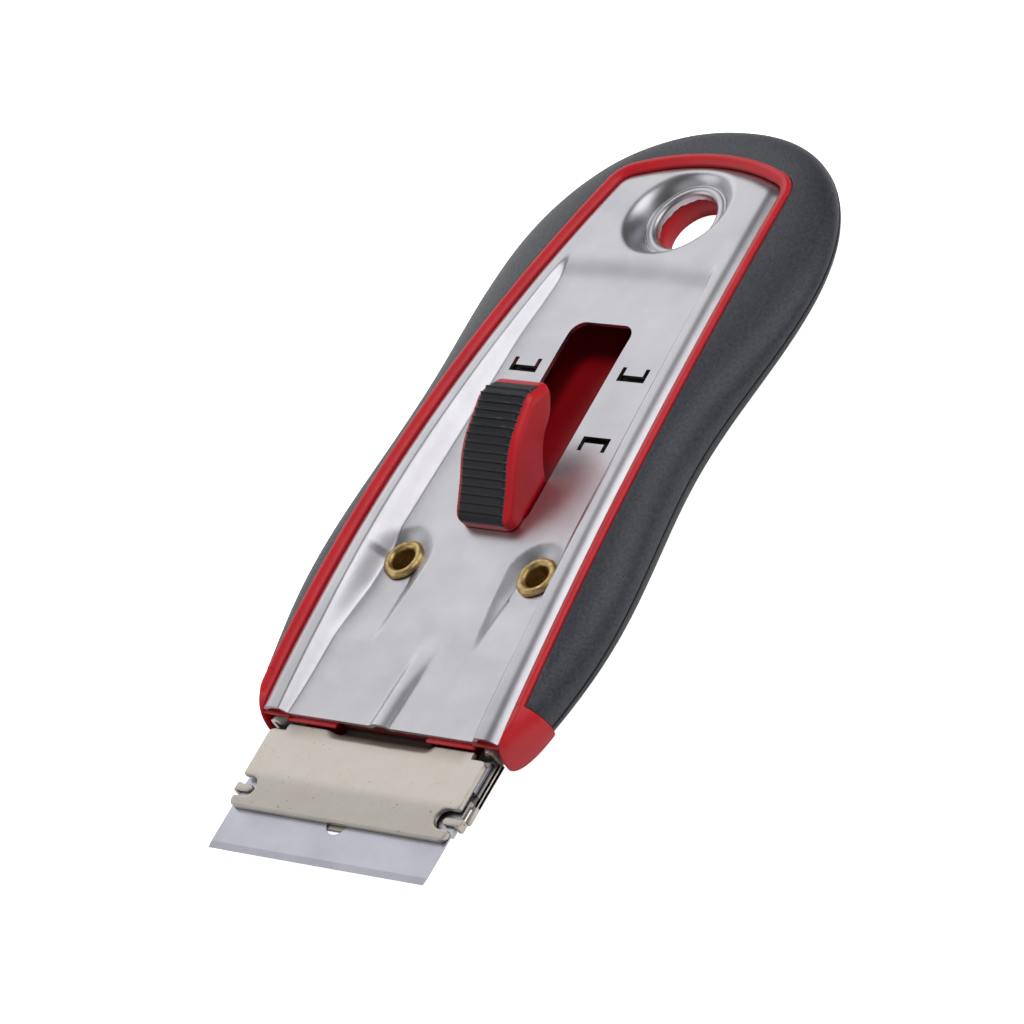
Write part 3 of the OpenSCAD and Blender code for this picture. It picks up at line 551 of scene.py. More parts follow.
class Finish(Nodes):
    """A material in the making."""

    def __init__(self, name, colour, metallic, roughness):
        self.material = bpy.data.materials.new(name)
        self.material.use_nodes = True
        super().__init__(self.material.node_tree)
        self.normal = None
        self.set("Base Color", colour)
        self.set("Metallic", metallic)
        self.set("Roughness", roughness)

    def set(self, name, value):
        self.feed(self.tree.nodes["Principled BSDF"].inputs[name], value)

    def paint(self, colour, fac, first, last):
        """A base colour, and a roughness that goes from first to last along a noise."""
        self.set("Base Color", colour)
        self.set("Roughness", self.remap(fac, 0.3, 0.7, first, last))

    def bump(self, value, depth):
        """Bump of a depth in millimetres, on top of the bumps before it."""
        inputs = {"Height": value, "Strength": 1.0, "Distance": depth * MM}
        if self.normal:
            inputs["Normal"] = self.normal
        self.normal = self.add("Bump", inputs).outputs["Normal"]
        self.set("Normal", self.normal)


WHITE = (1.0, 1.0, 1.0)
PALE = (0.9, 0.9, 0.9)


def stainless_material():
    """Satin sheet: fine brush lines across the handle, soft clouds and a few scratches."""
    steel = Finish("stainless", (0.62, 0.6, 0.625), 1.0, 0.3)
    brushed = steel.noise(1.0, 4.0, 0.6, steel.place((1.0, 14.0, 14.0), radians(24)))
    clouds = steel.noise(6.0, 3.0)
    scratch = steel.noise(1.0, 2.0, 0.5, steel.place((0.35, 11.0, 11.0), radians(-58)))
    shade = steel.ramp(clouds, (0.3, (0.575, 0.568, 0.61)), (0.7, (0.655, 0.645, 0.68)))
    lines = steel.ramp(brushed, (0.35, PALE), (0.65, WHITE))
    steel.paint(steel.mix(0.6, shade, lines, "MULTIPLY"), brushed, 0.28, 0.4)
    steel.bump(brushed, 0.004)
    steel.bump(steel.remap(scratch, 0.66, 0.7, 0.0, -1.0), 0.003)
    steel.bump(steel.noise(3.0, 2.0), 0.02)
    return steel.material


def painted_mouth_shade(nodes, place):
    """Painted shade, brown, where the plate runs into the mouth under the cover, but not on the ears."""
    start = (FRAME_Y - 3.2) * MM
    share = nodes.remap(place.outputs["Y"], start, start + 4 * MM)
    brown = nodes.ramp(share, (0.0, WHITE), (0.55, (0.72, 0.69, 0.66)), (0.9, (0.1, 0.085, 0.08)))
    across = nodes.math("ABSOLUTE", place.outputs["X"])
    return nodes.mix(nodes.remap(across, 14.8 * MM, 16.2 * MM), brown, WHITE)


def nickel_material():
    """Nickel plated sheet with fine pits and specks, with painted shade on the slope in front of the bend
    and where the plate runs into the mouth.
    """
    nickel = Finish("nickel", (0.6, 0.56, 0.52), 0.8, 0.34)
    clouds = nickel.noise(5.0, 4.0, 0.6)
    shade = nickel.ramp(clouds, (0.3, (0.55, 0.505, 0.455)), (0.7, (0.64, 0.6, 0.55)))
    specks = nickel.remap(nickel.noise(0.5, 1.0), 0.735, 0.77, 0.0, 0.7)
    spotted = nickel.mix(specks, shade, (0.2, 0.13, 0.09))
    place = nickel.add("SeparateXYZ", {"Vector": nickel.add("TexCoord").outputs["Object"]})
    # Painted shade: the sloped front of the plate, in front of the bend line, is made darker
    bend = (CLAMP_BEND + FRAME_Y) * MM
    tone = nickel.remap(place.outputs["Y"], bend - 0.6 * MM, bend + 0.6 * MM, 0.86, 1.0)
    front_slope_shade = nickel.mix(1.0, spotted, tone, "MULTIPLY")
    # Painted shade near the mouth multiplies the plate's colour
    nickel.paint(nickel.mix(1.0, front_slope_shade, painted_mouth_shade(nickel, place), "MULTIPLY"), clouds, 0.3, 0.42)
    nickel.bump(nickel.noise(0.35, 4.0, 0.65), 0.012)
    nickel.bump(nickel.noise(2.2, 3.0), 0.03)
    return nickel.material


def red_material(name, level):
    """Moulded plastic with a fine spark grain. A level under 1 gives a darker copy of it, as painted shade.
    """
    low = (0.36 * level, 0.004 * level, 0.009 * level)
    high = (0.43 * level, 0.007 * level, 0.014 * level)
    red = Finish(name, high, 0.0, 0.36)
    grain = red.noise(0.16, 3.0, 0.6)
    red.paint(red.ramp(red.noise(7.0, 2.0), (0.3, low), (0.7, high)), grain, 0.3, 0.46)
    red.bump(grain, 0.014)
    return red.material


def grip_material():
    """Dark soft overmould with a fine leather grain that sparkles."""
    grip = Finish("dark_grip", (0.02, 0.021, 0.026), 0.0, 0.42)
    grain = grip.noise(0.45, 4.0, 0.62)
    pits = grip.noise(0.2, 2.0)
    shade = grip.ramp(grain, (0.34, (0.009, 0.0105, 0.016)), (0.66, (0.027, 0.03, 0.041)))
    tone = grip.ramp(grip.noise(9.0, 2.0), (0.3, PALE), (0.7, WHITE))
    grip.paint(grip.mix(1.0, shade, tone, "MULTIPLY"), pits, 0.34, 0.52)
    grip.set("Specular IOR Level", 0.68)
    grip.bump(grain, 0.06)
    grip.bump(pits, 0.035)
    return grip.material


def base_material():
    """The same dark plastic, smoother."""
    base = Finish("dark_base", (0.055, 0.058, 0.068), 0.0, 0.46)
    grain = base.noise(0.2, 3.0)
    shade = base.ramp(grain, (0.3, (0.018, 0.019, 0.023)), (0.7, (0.024, 0.026, 0.031)))
    base.paint(shade, base.noise(4.0), 0.42, 0.54)
    base.bump(grain, 0.006)
    return base.material


def rubber_material():
    """Black rubber with faint dust and handling marks, and a painted highlight that makes its rib crests
    pale.
    """
    rubber = Finish("black_rubber", (0.02, 0.021, 0.024), 0.0, 0.42)
    marks = rubber.noise(1.0, 3.0, 0.6, rubber.place((1.0, 5.0, 5.0), radians(15)))
    plain = rubber.ramp(marks, (0.4, (0.006, 0.0065, 0.0085)), (0.75, (0.014, 0.015, 0.018)))
    # Painted highlight: the rib crests are made pale by their Pointiness
    rib_crest_highlight = rubber.remap(rubber.add("NewGeometry").outputs["Pointiness"], 0.53, 0.6, 0.0, 0.8)
    rubber.paint(rubber.mix(rib_crest_highlight, plain, (0.085, 0.088, 0.095)), marks, 0.36, 0.5)
    rubber.set("Specular IOR Level", 0.3)
    rubber.bump(rubber.noise(0.2, 2.0), 0.006)
    return rubber.material


def brass_material():
    """Dull brass with uneven stains."""
    brass = Finish("brass", (0.52, 0.36, 0.15), 1.0, 0.3)
    stain = brass.noise(0.8, 4.0, 0.6)
    tone = brass.ramp(stain, (0.25, (0.42, 0.27, 0.11)), (0.5, (0.64, 0.46, 0.2)), (0.72, (0.78, 0.6, 0.32)))
    brass.paint(tone, stain, 0.5, 0.3)
    brass.bump(brass.noise(0.7, 3.0), 0.05)
    brass.bump(brass.noise(0.15, 2.0), 0.01)
    return brass.material


def steel_material(name, colour, roughness, stain_size):
    """Plain steel with soft stains along the grinding lines."""
    steel = Finish(name, colour, 1.0, roughness)
    stain = steel.noise(stain_size, 3.0, 0.55)
    dark = tuple(c * 0.92 for c in colour)
    steel.paint(steel.ramp(stain, (0.3, dark), (0.65, colour)), stain, roughness + 0.05, roughness - 0.02)
    steel.bump(steel.noise(1.0, 3.0, 0.6, steel.place((1.0, 12.0, 12.0))), 0.003)
    return steel.material


# Cover plate

def side_depth(x, y):
    return SIDE_R - np.hypot(np.abs(x) - SIDE_C[0], y - SIDE_C[1])


def edge_depth(x, y):
    """Distance in from the cover's side and rear edges."""
    across = np.abs(x)
    rear = REAR_R - np.hypot(across, np.maximum(y - REAR_C[1], 0.0))
    dx = across - CORNER_C[0]
    dy = y - CORNER_C[1]
    turn = np.arctan2(dy, dx)
    corner = (turn > SIDE_END) & (turn < REAR_START)
    return np.where(corner, CORNER_R - np.hypot(dx, dy), np.minimum(side_depth(x, y), rear))


def rail_z(y):
    return arch_z(RAIL_CREST_Z, y) + FRONT_LIFT * (1 - step(y / FRONT_FADE))


def sunk_z(y):
    dip = FRONT_DIP * (1 - step(y / FRONT_FADE)) + REAR_SINK * step((y - REAR_SINK_Y) / REAR_SINK_LEN)
    return np.minimum(panel_z(y) - dip, rail_z(y))


def slope_start(y):
    """How far in the rail's inner slope begins: the rail is wider towards its front."""
    return SLOPE_IN + SLOPE_FRONT * (1 - step(y / SLOPE_FRONT_LEN))


def foot_depth(y):
    """How far in the rail's inner slope ends. It has one steepness, so it is wide where it is high."""
    return slope_start(y) + np.maximum(rail_z(y) - sunk_z(y), 0.3) / SLOPE_TAN


def pocket_drop(x, y):
    """Depth of the eyelet pockets and of the ramps in front of them."""
    across = np.abs(x)
    lead = share_of(y, POCKET_TIP_Y, EYELET_Y)
    line_x = POCKET_LINE_X + (EYELET_X - POCKET_R - POCKET_LINE_X) * lead
    round_in = POCKET_R - np.hypot(across - EYELET_X, y - EYELET_Y)
    within = np.where(y < EYELET_Y, across - line_x, round_in)
    wall = POCKET_WALL_FRONT + (POCKET_WALL - POCKET_WALL_FRONT) * lead
    bowl = np.clip(within / wall, 0, 1)
    ramp = share_of(y, POCKET_TIP_Y, POCKET_TIP_Y + POCKET_RAMP_LEN)
    return POCKET_DEPTH * ramp * (0.75 * bowl + 0.25 * bowl ** 2)


def rib_rise(x, y):
    fade = 1 - step((y - RIB_LEN * 0.3) / (RIB_LEN * 0.7))
    off = x + 0.25 - RIB_DRIFT * y
    wide = np.where(off < 0, RIB_HALF_W * 0.85, RIB_HALF_W * 1.15)
    across = np.clip(np.abs(off) / wide, 0, 1)
    return RIB_H * fade * (1 - across ** 2.2)


def cover_z(x, y):
    """Height of the cover: rails, slopes and sunk panel, then pockets, rib and dimple."""
    rail = rail_z(y)
    high = rail - EDGE_DROP * np.clip(1 - edge_depth(x, y) / EDGE_ROUND_R, 0, 1) ** 2
    lobe_y = LOBE_Y - LOBE_BOW * (np.abs(x) / COVER_HALF_W) ** 2
    lobe = step((y - lobe_y) / LOBE_W + 0.5)
    inner = sunk_z(y) * (1 - lobe) + rail * lobe
    t = share_of(side_depth(x, y), slope_start(y), foot_depth(y))
    t = 0.3 * step(t) + 0.7 * t
    z = high * (1 - t) + inner * t
    z = z - pocket_drop(x, y) * t ** 1.5 * (1 - lobe) + rib_rise(x, y)
    r = np.hypot(x, y - HOLE_Y)
    bowl = 1 - (1 - share_of(r, DIMPLE_FOOT_R, DIMPLE_R)) ** 2.2
    ring = np.clip(1 - ((r - COLLAR_R) / COLLAR_W) ** 2, 0, 1)
    floor_z = DIMPLE_FOOT_Z + COLLAR_H * np.sqrt(ring)
    return floor_z * (1 - bowl) + np.minimum(z, high) * bowl


def lance_loop(side, y, turn):
    """Outline of a lanced slot, a bar with an arm at each end."""
    reach = turn * LANCE_LEN
    half = turn * LANCE_BAR_W / 2
    a, b = LANCE_IN_X, LANCE_OUT_X
    w = LANCE_W
    loop = [(a, y - half), (b, y - half), (b, y + reach), (b - w, y + reach),
            (b - w, y + half), (a + w, y + half), (a + w, y + reach), (a, y + reach)]
    return [(side * px, py) for px, py in loop]


def window_loop():
    x = WINDOW_HALF_W - WINDOW_R
    rear = WINDOW_REAR_Y - WINDOW_R
    front = WINDOW_FRONT_Y + WINDOW_R
    loop = []
    for quarter, centre in enumerate([(x, rear), (-x, rear), (-x, front), (x, front)]):
        loop += arc(centre, WINDOW_R, QUARTER * quarter, QUARTER * (quarter + 1), 8)
    return loop


# Where the cover's mesh has its inner points
EDGE_STEPS = [0.05, 0.2, 0.4, 0.65, 0.9, 1.2, 1.5, 1.8, 2.1, 2.4]
THROAT_STEPS = [0.07, 0.16, 0.28, 0.42, 0.58, 0.75, 0.92, 1.08, 1.22, 1.34, 1.45, 1.6]
THROAT_POINTS = 112
SEED_STEP = 0.55
SEED_SHIFT = 0.27
ROWS_END_Y = 88.3


def rail_depths(y):
    """Depths of the mesh points on a rail and its slope."""
    return EDGE_STEPS + list(np.linspace(EDGE_STEPS[-1], float(foot_depth(y)), 14)[1:])


def cover_seeds():
    """Places of the cover's inner points: rows along the rails, and rings at the tail."""
    seeds = []
    for y in np.arange(0.0, ROWS_END_Y, SEED_STEP):
        foot = float(foot_depth(y))
        depths = rail_depths(y) + [foot + 0.12, foot + 0.35]
        right = [(float(side_x(y, -d)), y) for d in depths]
        wide = float(side_x(y)) - foot - 0.75
        seeds += mirrored(right) + right + [(x, y) for x in np.linspace(-wide, wide, 63)]
    for depth in EDGE_STEPS:
        seeds += [p for p in whole_edge(half_edge(-depth, ROWS_END_Y, SEED_STEP)) if p[1] > ROWS_END_Y]
    tail = np.array([(x, y) for y in np.arange(88.7, COVER_LEN, 0.5) for x in np.arange(-14, 14.01, 0.5)])
    seeds = np.vstack([seeds, tail[edge_depth(tail[:, 0], tail[:, 1]) > 2.5]])
    far = np.hypot(seeds[:, 0], seeds[:, 1] - HOLE_Y) > DIMPLE_R + 0.6
    seeds = seeds[far | (edge_depth(seeds[:, 0], seeds[:, 1]) < 1.25)]
    radii = [THROAT_R + d for d in THROAT_STEPS] + list(np.arange(THROAT_R + 1.85, DIMPLE_R + 0.5, 0.26))
    rings = np.vstack([circle(0, HOLE_Y, r, THROAT_POINTS) for r in radii])
    rings = rings[edge_depth(rings[:, 0], rings[:, 1]) > 1.35]
    return np.vstack([seeds, rings, pocket_seeds()])


def pocket_seeds():
    """Finer points between the rows, where the pockets and the front rib bend sharply."""
    rows = np.arange(11.3, 31.0, SEED_STEP) + SEED_SHIFT
    pocket = [(x, y) for x in np.arange(6.4, 14.2, 0.25) for y in rows]
    rib = [(x, y) for x in np.arange(-2.4, 3.6, 0.22) for y in np.arange(0.3, 15.0, SEED_STEP)]
    return np.vstack([pocket, mirrored(pocket), rib])


def front_edge():
    """The cover's cut front edge, from left to right, along y = 0."""
    right = [COVER_HALF_W - depth for depth in rail_depths(0.0)]
    inner = right[-1] - 0.5
    xs = [-x for x in right] + list(np.linspace(-inner, inner, 61)) + right[::-1]
    return [(x, 0.0) for x in xs]


def cover_piece(material):
    outline = whole_edge(half_edge(0.0, 0.0, 0.6)) + front_edge()
    holes = [resample(window_loop(), 0.5)]
    for side in (-1, 1):
        holes.append(circle(side * EYELET_X, EYELET_Y, EYELET_BORE_R + 0.45, 48))
        holes.append(resample(lance_loop(side, LANCE_FRONT_Y, -1), 0.3))
        holes.append(resample(lance_loop(side, LANCE_REAR_Y, 1), 0.3))
    holes.append(circle(0, HOLE_Y, THROAT_R, THROAT_POINTS))
    obj = sheet("cover_sheet", outline, holes, cover_seeds(), cover_z)
    turn_throat_down(obj)
    thicken(obj, COVER_T)
    dress(obj, "handle", material, ["cover_plate"], 50)


def turn_throat_down(obj):
    """Turns the edge of the hanging hole down into a short ragged collar."""
    centre = Vector((0.0, (HOLE_Y + FRAME_Y) * MM))
    near = (THROAT_R + 0.03) * MM
    with editing(obj) as bm:
        border = [e for e in bm.edges if e.is_boundary]
        loop = [e for e in border if all((v.co.xy - centre).length < near for v in e.verts)]
        for fall in THROAT_FALLS:
            made = bmesh.ops.extrude_edge_only(bm, edges=loop)["geom"]
            for v in [g for g in made if isinstance(g, bmesh.types.BMVert)]:
                a = atan2(v.co.y - centre.y, v.co.x - centre.x)
                ragged = 0.07 * sin(9 * a + 1.3) + 0.05 * sin(23 * a) if fall == THROAT_FALLS[-1] else 0.0
                v.co.z -= (fall + ragged) * MM
            loop = [g for g in made if isinstance(g, bmesh.types.BMEdge) and g.is_boundary]
        turn_faces_up(bm)


# Handle

def unit(way):
    return way / np.linalg.norm(way)


def grip_ring(p):
    """Section of the grip beside a point of the rim: up the outside, then down along the rim."""
    q = handle_point(p)
    way = unit(p - q)
    low = seam_z(q[1]) + SEAM_GAP / 2
    crest = float(arch_z(RIM_CREST_Z, p[1]))
    top = crest - RIM_DROP
    steep = asin((top - low) / (crest - low))
    span = np.linalg.norm(p - q) / (1 - cos(steep))
    ring = []
    for a in np.linspace(0, steep, 23):
        at = q + way * span * (1 - cos(a))
        ring.append((*at, low + (crest - low) * sin(a)))
    edge = way * 0.12
    ring[0] = (*(q + edge), low)
    ring.insert(1, (*(q + edge * 0.15), low + 0.12))
    ring[-1] = (*(at - edge * 1.6), top - 0.02)
    return ring + [(*(p - edge * 0.3), top - 0.1), (*p, top - 0.3), (*p, low)]


def grip_piece(material):
    half = half_edge(RIM_OUT + 0.03)
    rings = [grip_ring(np.array(p)) for p in half]
    rings += [mirrored(ring) for ring in rings[-2::-1]]
    obj = loft("grip_skin", rings)
    bevel(obj, 0.22, 3, 60)
    dress(obj, "handle", material, ["grip"], 45)


def eyelet_cutters(r, n):
    return [prism("c", circle(side * EYELET_X, EYELET_Y, r, n)) for side in (-1, 1)]


def base_half(a):
    """One level of the base's rounded side, from the seam at angle 0 to the underside at a quarter turn."""
    points = []
    for p in half_edge(RIM_OUT):
        q = handle_point(p)
        at = q + unit(p - q) * UNDER_ROUND_W * (1 - cos(a))
        points.append((*at, (seam_z(q[1]) - SEAM_GAP / 2) * (1 - sin(a))))
    return points


def base_piece(material):
    inner = half_edge(RIM_OUT + 0.05)
    tops = base_half(0.0)
    levels = [[(x, y, top[2]) for (x, y), top in zip(inner, tops)],
              [(x * 0.997, y, z) for x, y, z in tops],
              [(x, y, z - 0.12) for x, y, z in tops]]
    levels += [base_half(QUARTER * i / 12) for i in range(1, 13)]
    rings = [whole_edge(level) for level in levels]
    n = len(rings[0])
    starts = range(0, len(rings) * n, n)
    faces = row_faces(len(rings), n, closed=False) + across_faces(starts[-1], n) + across_faces(0, n)
    faces.append(tuple(starts) + tuple(start + n - 1 for start in starts[::-1]))
    obj = mesh_object("base_skin", [p for ring in rings for p in ring], faces)
    clean(obj)
    cutters = [prism("c", circle(0, HOLE_Y, THROAT_R + 0.9, 96)),
               prism("c", whole_edge(half_edge(RIM_OUT + 0.03, -4.0, 1.0)), BASE_T)]
    cut(obj, cutters + eyelet_cutters(2.95, 48))
    dress(obj, "handle", material, ["base_shell"])


def rim_section(p, way):
    """Section of the red rim beside the cover, from its inner wall over the top to its outer wall."""
    top = float(arch_z(RIM_CREST_Z, p[1]))
    shape = [(0.0, -RIM_DEPTH)] + RIM_INSIDE
    outside = [(0.8, -0.02), (0.55, 0.0), (0.3, -0.04), (0.1, -0.16), (0.0, -0.34), (0.0, -RIM_DEPTH)]
    shape += [(RIM_OUT - COVER_GAP - d, z) for d, z in outside]
    return [(*(p + way * d), top + z) for d, z in shape]


def rim_ring():
    """The rim all round the cover, as one swept band."""
    inner = np.array(half_edge(COVER_GAP, GRIP_FRONT_Y - 0.1))
    outer = np.array(half_edge(RIM_OUT, GRIP_FRONT_Y - 0.1))
    rings = [rim_section(p, unit(q - p)) for p, q in zip(inner, outer)]
    return loft("rim", rings + [mirrored(ring) for ring in rings[-2::-1]])


def nose_ring(y):
    """Section of the nose at y: the rim's top, the grip's side and the base's underside in one skin."""
    q = handle_x(y)
    wall = float(side_x(max(y, 0.0), COVER_GAP))
    rim_x = min(float(side_x(max(y, 0.0), RIM_OUT)), q - NOSE_SHOULDER)
    low = seam_z(y)
    crest = float(arch_z(RIM_CREST_Z, y))
    steep = asin((crest - RIM_DROP - low) / (crest - low))
    span = (rim_x - q) / (1 - cos(steep))
    under = (q - wall) * 0.9
    full = [(wall + d, crest + z) for d, z in RIM_INSIDE]
    full += [(rim_x - 0.5, crest - 0.02), (rim_x - 0.3, crest - 0.05), (rim_x - 0.1, crest - 0.2)]
    full += [(q + span * (1 - cos(a)), low + (crest - low) * sin(a)) for a in np.linspace(steep, 0, 15)[1:]]
    full += [(q - under * (1 - cos(a)), low * (1 - sin(a))) for a in np.linspace(0, QUARTER, 9)[1:]]
    full.append((wall, 0.0))
    t = float(share_of(-y, -NOSE_ROUND_Y, NOSE_TIP))
    across = (1 - t ** 2.2) ** 0.5
    up = (1 - t ** 7) ** 0.5
    down = (1 - t ** 3) ** 0.5
    rounded = [(wall + (x - wall) * across, (z - NOSE_Z) * (up if z > NOSE_Z else down)) for x, z in full]
    return [(x, y, NOSE_Z + z) for x, z in rounded]


def nose_pieces():
    """Both rounded corners of the mouth."""
    ys = [GRIP_FRONT_Y - GRIP_GAP, 5.2, 4.6, 4.0, 3.4, 2.8, 2.2, 1.6, 1.1, 0.7, 0.3, 0.0, -0.25, -0.45,
          -0.62, -0.76, -0.88, -0.98, -1.06, -1.12, -NOSE_TIP]
    rings = [nose_ring(y) for y in ys]
    return [loft("nose", rings), loft("nose", [mirrored(ring) for ring in rings])]


def tray_top(y):
    """Top of the tray, a little under the cover."""
    top = float(min(rail_z(y) - 2.2, sunk_z(y) - COVER_T - 0.25))
    return min(top, DIMPLE_FOOT_Z - COVER_T - 0.1) if y > HOLE_Y - DIMPLE_R else top


def tray_piece():
    """Floor and walls under the cover."""
    outline = whole_edge(half_edge(RIM_OUT - 0.05, TRAY_FRONT_Y, 1.5))
    n = len(outline)
    points = [(x, y, BASE_T) for x, y in outline] + [(x, y, tray_top(y)) for x, y in outline]
    block = mesh_object("tray", points, row_faces(2, n) + across_faces(0, n) + across_faces(n, n))
    clean(block)
    cutters = [box("c", (-17.3, 8.0, FLOOR_Z), (17.3, 70.0, CUT_HIGH)),
               box("c", (-20.25, -3, FLOOR_Z), (20.25, 31.5, 5.2)),
               prism("c", circle(0, HOLE_Y, THROAT_R + 0.06, 96))]
    cut(block, cutters + eyelet_cutters(2.2, 40))
    return block


SHELVES = [((8.0, -0.6, 4.58), (16.4, 9.0, 5.0)), ((16.2, -0.3, 5.06), (20.9, 6.0, 5.5))]


def shelf_pieces():
    """Red shelves that show under the cover's front edge, and the walls above the ears."""
    shelves = [side_box("shelf", side, low, high) for side in (-1, 1) for low, high in SHELVES]
    for shelf in shelves:
        bevel(shelf, 0.15)
    return shelves


def bore_piece():
    """Red wall of the hanging hole."""
    top = DIMPLE_FOOT_Z - COVER_T - 0.05
    r = THROAT_R + 0.05
    profile = [(r, 0.05), (r + 0.9, 0.05), (r + 0.9, top), (r + 0.25, top), (r + 0.08, top - 0.06),
               (r, top - 0.2)]
    return spin("bore", 0, HOLE_Y, profile, 96)


def boss_pieces():
    """Bosses round the eyelets' barrels."""
    profile = [(2.15, FLOOR_Z - 0.1), (2.63, FLOOR_Z - 0.1), (2.63, 4.9), (2.15, 4.9)]
    return [spin("boss", side * EYELET_X, EYELET_Y, profile, 48) for side in (-1, 1)]


def inside_piece(material):
    """Floor, walls and bosses that only show through the openings, in a darker copy of the red as painted
    shade.
    """
    # Painted shade: the stop is a dark wall that closes the mouth's hollow and stands for its shadow
    stop = box("stop", (-7.9, 0.6, 3.4), (7.9, 1.4, 4.95))
    sill = box("sill", (-20.95, 0.2, BASE_T), (20.95, TRAY_FRONT_Y + 0.2, FLOOR_Z))
    obj = join("housing_inside", [tray_piece(), stop, sill] + boss_pieces())
    dress(obj, "handle", material, [], 42)


def housing_piece(material):
    obj = join("housing_shell", [rim_ring(), bore_piece()] + nose_pieces() + shelf_pieces())
    dress(obj, "handle", material, ["housing"], 42)


# Eyelets

def eyelet_piece(end, side, material):
    """Rolled flange, barrel and foot of a tubular rivet, a little out of round."""
    z = float(panel_z(EYELET_Y)) - POCKET_DEPTH + 0.02
    r = EYELET_BORE_R
    mid = (EYELET_FLANGE_R + r) / 2
    half = (EYELET_FLANGE_R - r) / 2
    profile = [(r, 0.05), (r + 1.2, 0.05), (r + 1.2, 0.4), (r + 0.4, 0.42), (r + 0.4, z)]
    profile += [(mid + half * cos(a), z + 0.08 + 0.6 * sin(a)) for a in np.linspace(0, pi, 13)]
    profile.append((r, z - 0.3))
    obj = spin("eyelet_ring_" + end, side * EYELET_X, EYELET_Y, profile, 96)
    centre = Vector((side * EYELET_X * MM, (EYELET_Y + FRAME_Y) * MM))
    for v in obj.data.vertices:
        away = v.co.xy - centre
        a = atan2(away.y, away.x)
        v.co.xy = centre + away * (1 + 0.012 * sin(3 * a + side) + 0.008 * sin(7 * a))
    dress(obj, "handle", material, ["eyelet_" + end])


# Button

BUTTON_FRONT_Y = 31.05
BUTTON_LEN = 18.25
BUTTON_Z = 7.12
BUTTON_H = 9.5
BUTTON_HALF_W = 4.85
BUTTON_EDGE_R = 1.35
BUTTON_MIDDLE_SHARE = 0.52

# Its side view as shares of its length and height, from its front foot over the top to its rear foot
BUTTON_SHARES = [(0, 0), (0, 0.18), (0.107, 0.34), (0.216, 0.49), (0.353, 0.7), (0.468, 0.82),
                 (0.562, 0.883), (0.726, 0.965), (0.819, 1), (0.907, 0.936), (1, 0.84), (0.968, 0.75),
                 (0.885, 0.628), (0.734, 0.521), (0.61, 0.351), (0.522, 0.17), (0.463, 0)]

# Its pad, with the first and last point of the side view's line that lie under it
PAD_HALF_W = 4.05
PAD_RIBS = 17
PAD_RIB_H = 0.28
PAD_RIB_SHARE = 0.13
PAD_PROUD = 0.08
PAD_FIRST = 5
PAD_LAST = 75


def smooth_line(points, per_span):
    """A smooth open curve through points."""
    points = [np.array(p, float) for p in points]
    padded = [2 * points[0] - points[1]] + points + [2 * points[-1] - points[-2]]
    out = []
    for i in range(len(points) - 1):
        a, b, c, d = padded[i:i + 4]
        for k in range(per_span):
            t = k / per_span
            out.append(0.5 * (2 * b + (c - a) * t + (2 * a - 5 * b + 4 * c - d) * t * t
                              + (3 * b - a - 3 * c + d) * t ** 3))
    out.append(points[-1])
    return out


def button_line():
    """Side view of the button as y and z."""
    foot = np.array([BUTTON_FRONT_Y, BUTTON_Z])
    return [foot + share * (BUTTON_LEN, BUTTON_H) for share in smooth_line(BUTTON_SHARES, 8)]


def line_normals(line):
    """Normals to the left of an open line."""
    ways = [unit(line[min(i + 1, len(line) - 1)] - line[max(i - 1, 0)]) for i in range(len(line))]
    return [np.array([-way[1], way[0]]) for way in ways]


def button_body():
    """The button's rounded block: its side view shrinks towards both sides."""
    inner = BUTTON_HALF_W - BUTTON_EDGE_R
    turns = np.linspace(0, QUARTER, 9)
    turned = [(inner + BUTTON_EDGE_R * sin(a), BUTTON_EDGE_R * (1 - cos(a))) for a in turns]
    stations = mirrored(turned) + [(k * inner / 4, 0.0) for k in range(-3, 4)] + turned
    middle = np.array([BUTTON_FRONT_Y + BUTTON_LEN * BUTTON_MIDDLE_SHARE, BUTTON_Z])
    rings = []
    for x, inset in sorted(stations):
        shrink = (1 - 2 * inset / BUTTON_LEN, 1 - inset / BUTTON_H)
        rings.append([(x, *(middle + (p - middle) * shrink)) for p in button_line()])
    return loft("button_body", rings)


def button_piece(material):
    neck = box("neck", (-4.5, 32.9, 6.0), (4.5, 39.9, BUTTON_Z + 0.9))
    tongue = box("tongue", (-2.1, 33.0, 3.9), (2.1, 36.2, 6.4))
    heel = box("heel", (-2.1, 35.0, 5.12), (2.1, 40.8, 6.6))
    for shell in (neck, tongue, heel):
        bevel(shell, 0.25)
    obj = join("button_shell", [button_body(), neck, tongue, heel])
    dress(obj, "button", material, ["slide_button"], 50)


def pad_piece(material):
    """Ribbed pad along the button's front and top."""
    span = smooth_line(button_line()[PAD_FIRST:PAD_LAST + 1:2], 12)
    lengths = np.concatenate([[0], np.cumsum([np.linalg.norm(b - a) for a, b in zip(span, span[1:])])])
    rings = []
    for at, normal, s in zip(span, line_normals(span), lengths / lengths[-1]):
        lip = min(1.0, 12 * min(s, 1 - s))
        lip = sqrt(max(0.0, 1 - (1 - lip) ** 2))
        phase = (s * (PAD_RIBS + 1.0)) % 1.0
        rib = exp(-((phase - 0.5) / PAD_RIB_SHARE) ** 2)
        fade = 1 - float(step((s - 0.93) / 0.03))
        rise = lip * (PAD_PROUD + PAD_RIB_H * (0.25 + 0.75 * min(1.0, s * 1.5)) * rib * fade)
        ring = []
        for u in np.linspace(-1, 1, 31):
            edge = sqrt(max(0.0, 1 - max(0.0, (abs(u) - 0.88) / 0.12) ** 2))
            ring.append((u * (PAD_HALF_W + 0.08 * rib), *(at + normal * (rise * edge - 0.25 * (1 - edge)))))
        base = at - normal * 0.5
        rings.append(ring + [(PAD_HALF_W - 0.05, *base), (0.05 - PAD_HALF_W, *base)])
    obj = loft("button_rubber", rings)
    dress(obj, "button", material, ["button_pad"], 55)


# Clamp plate

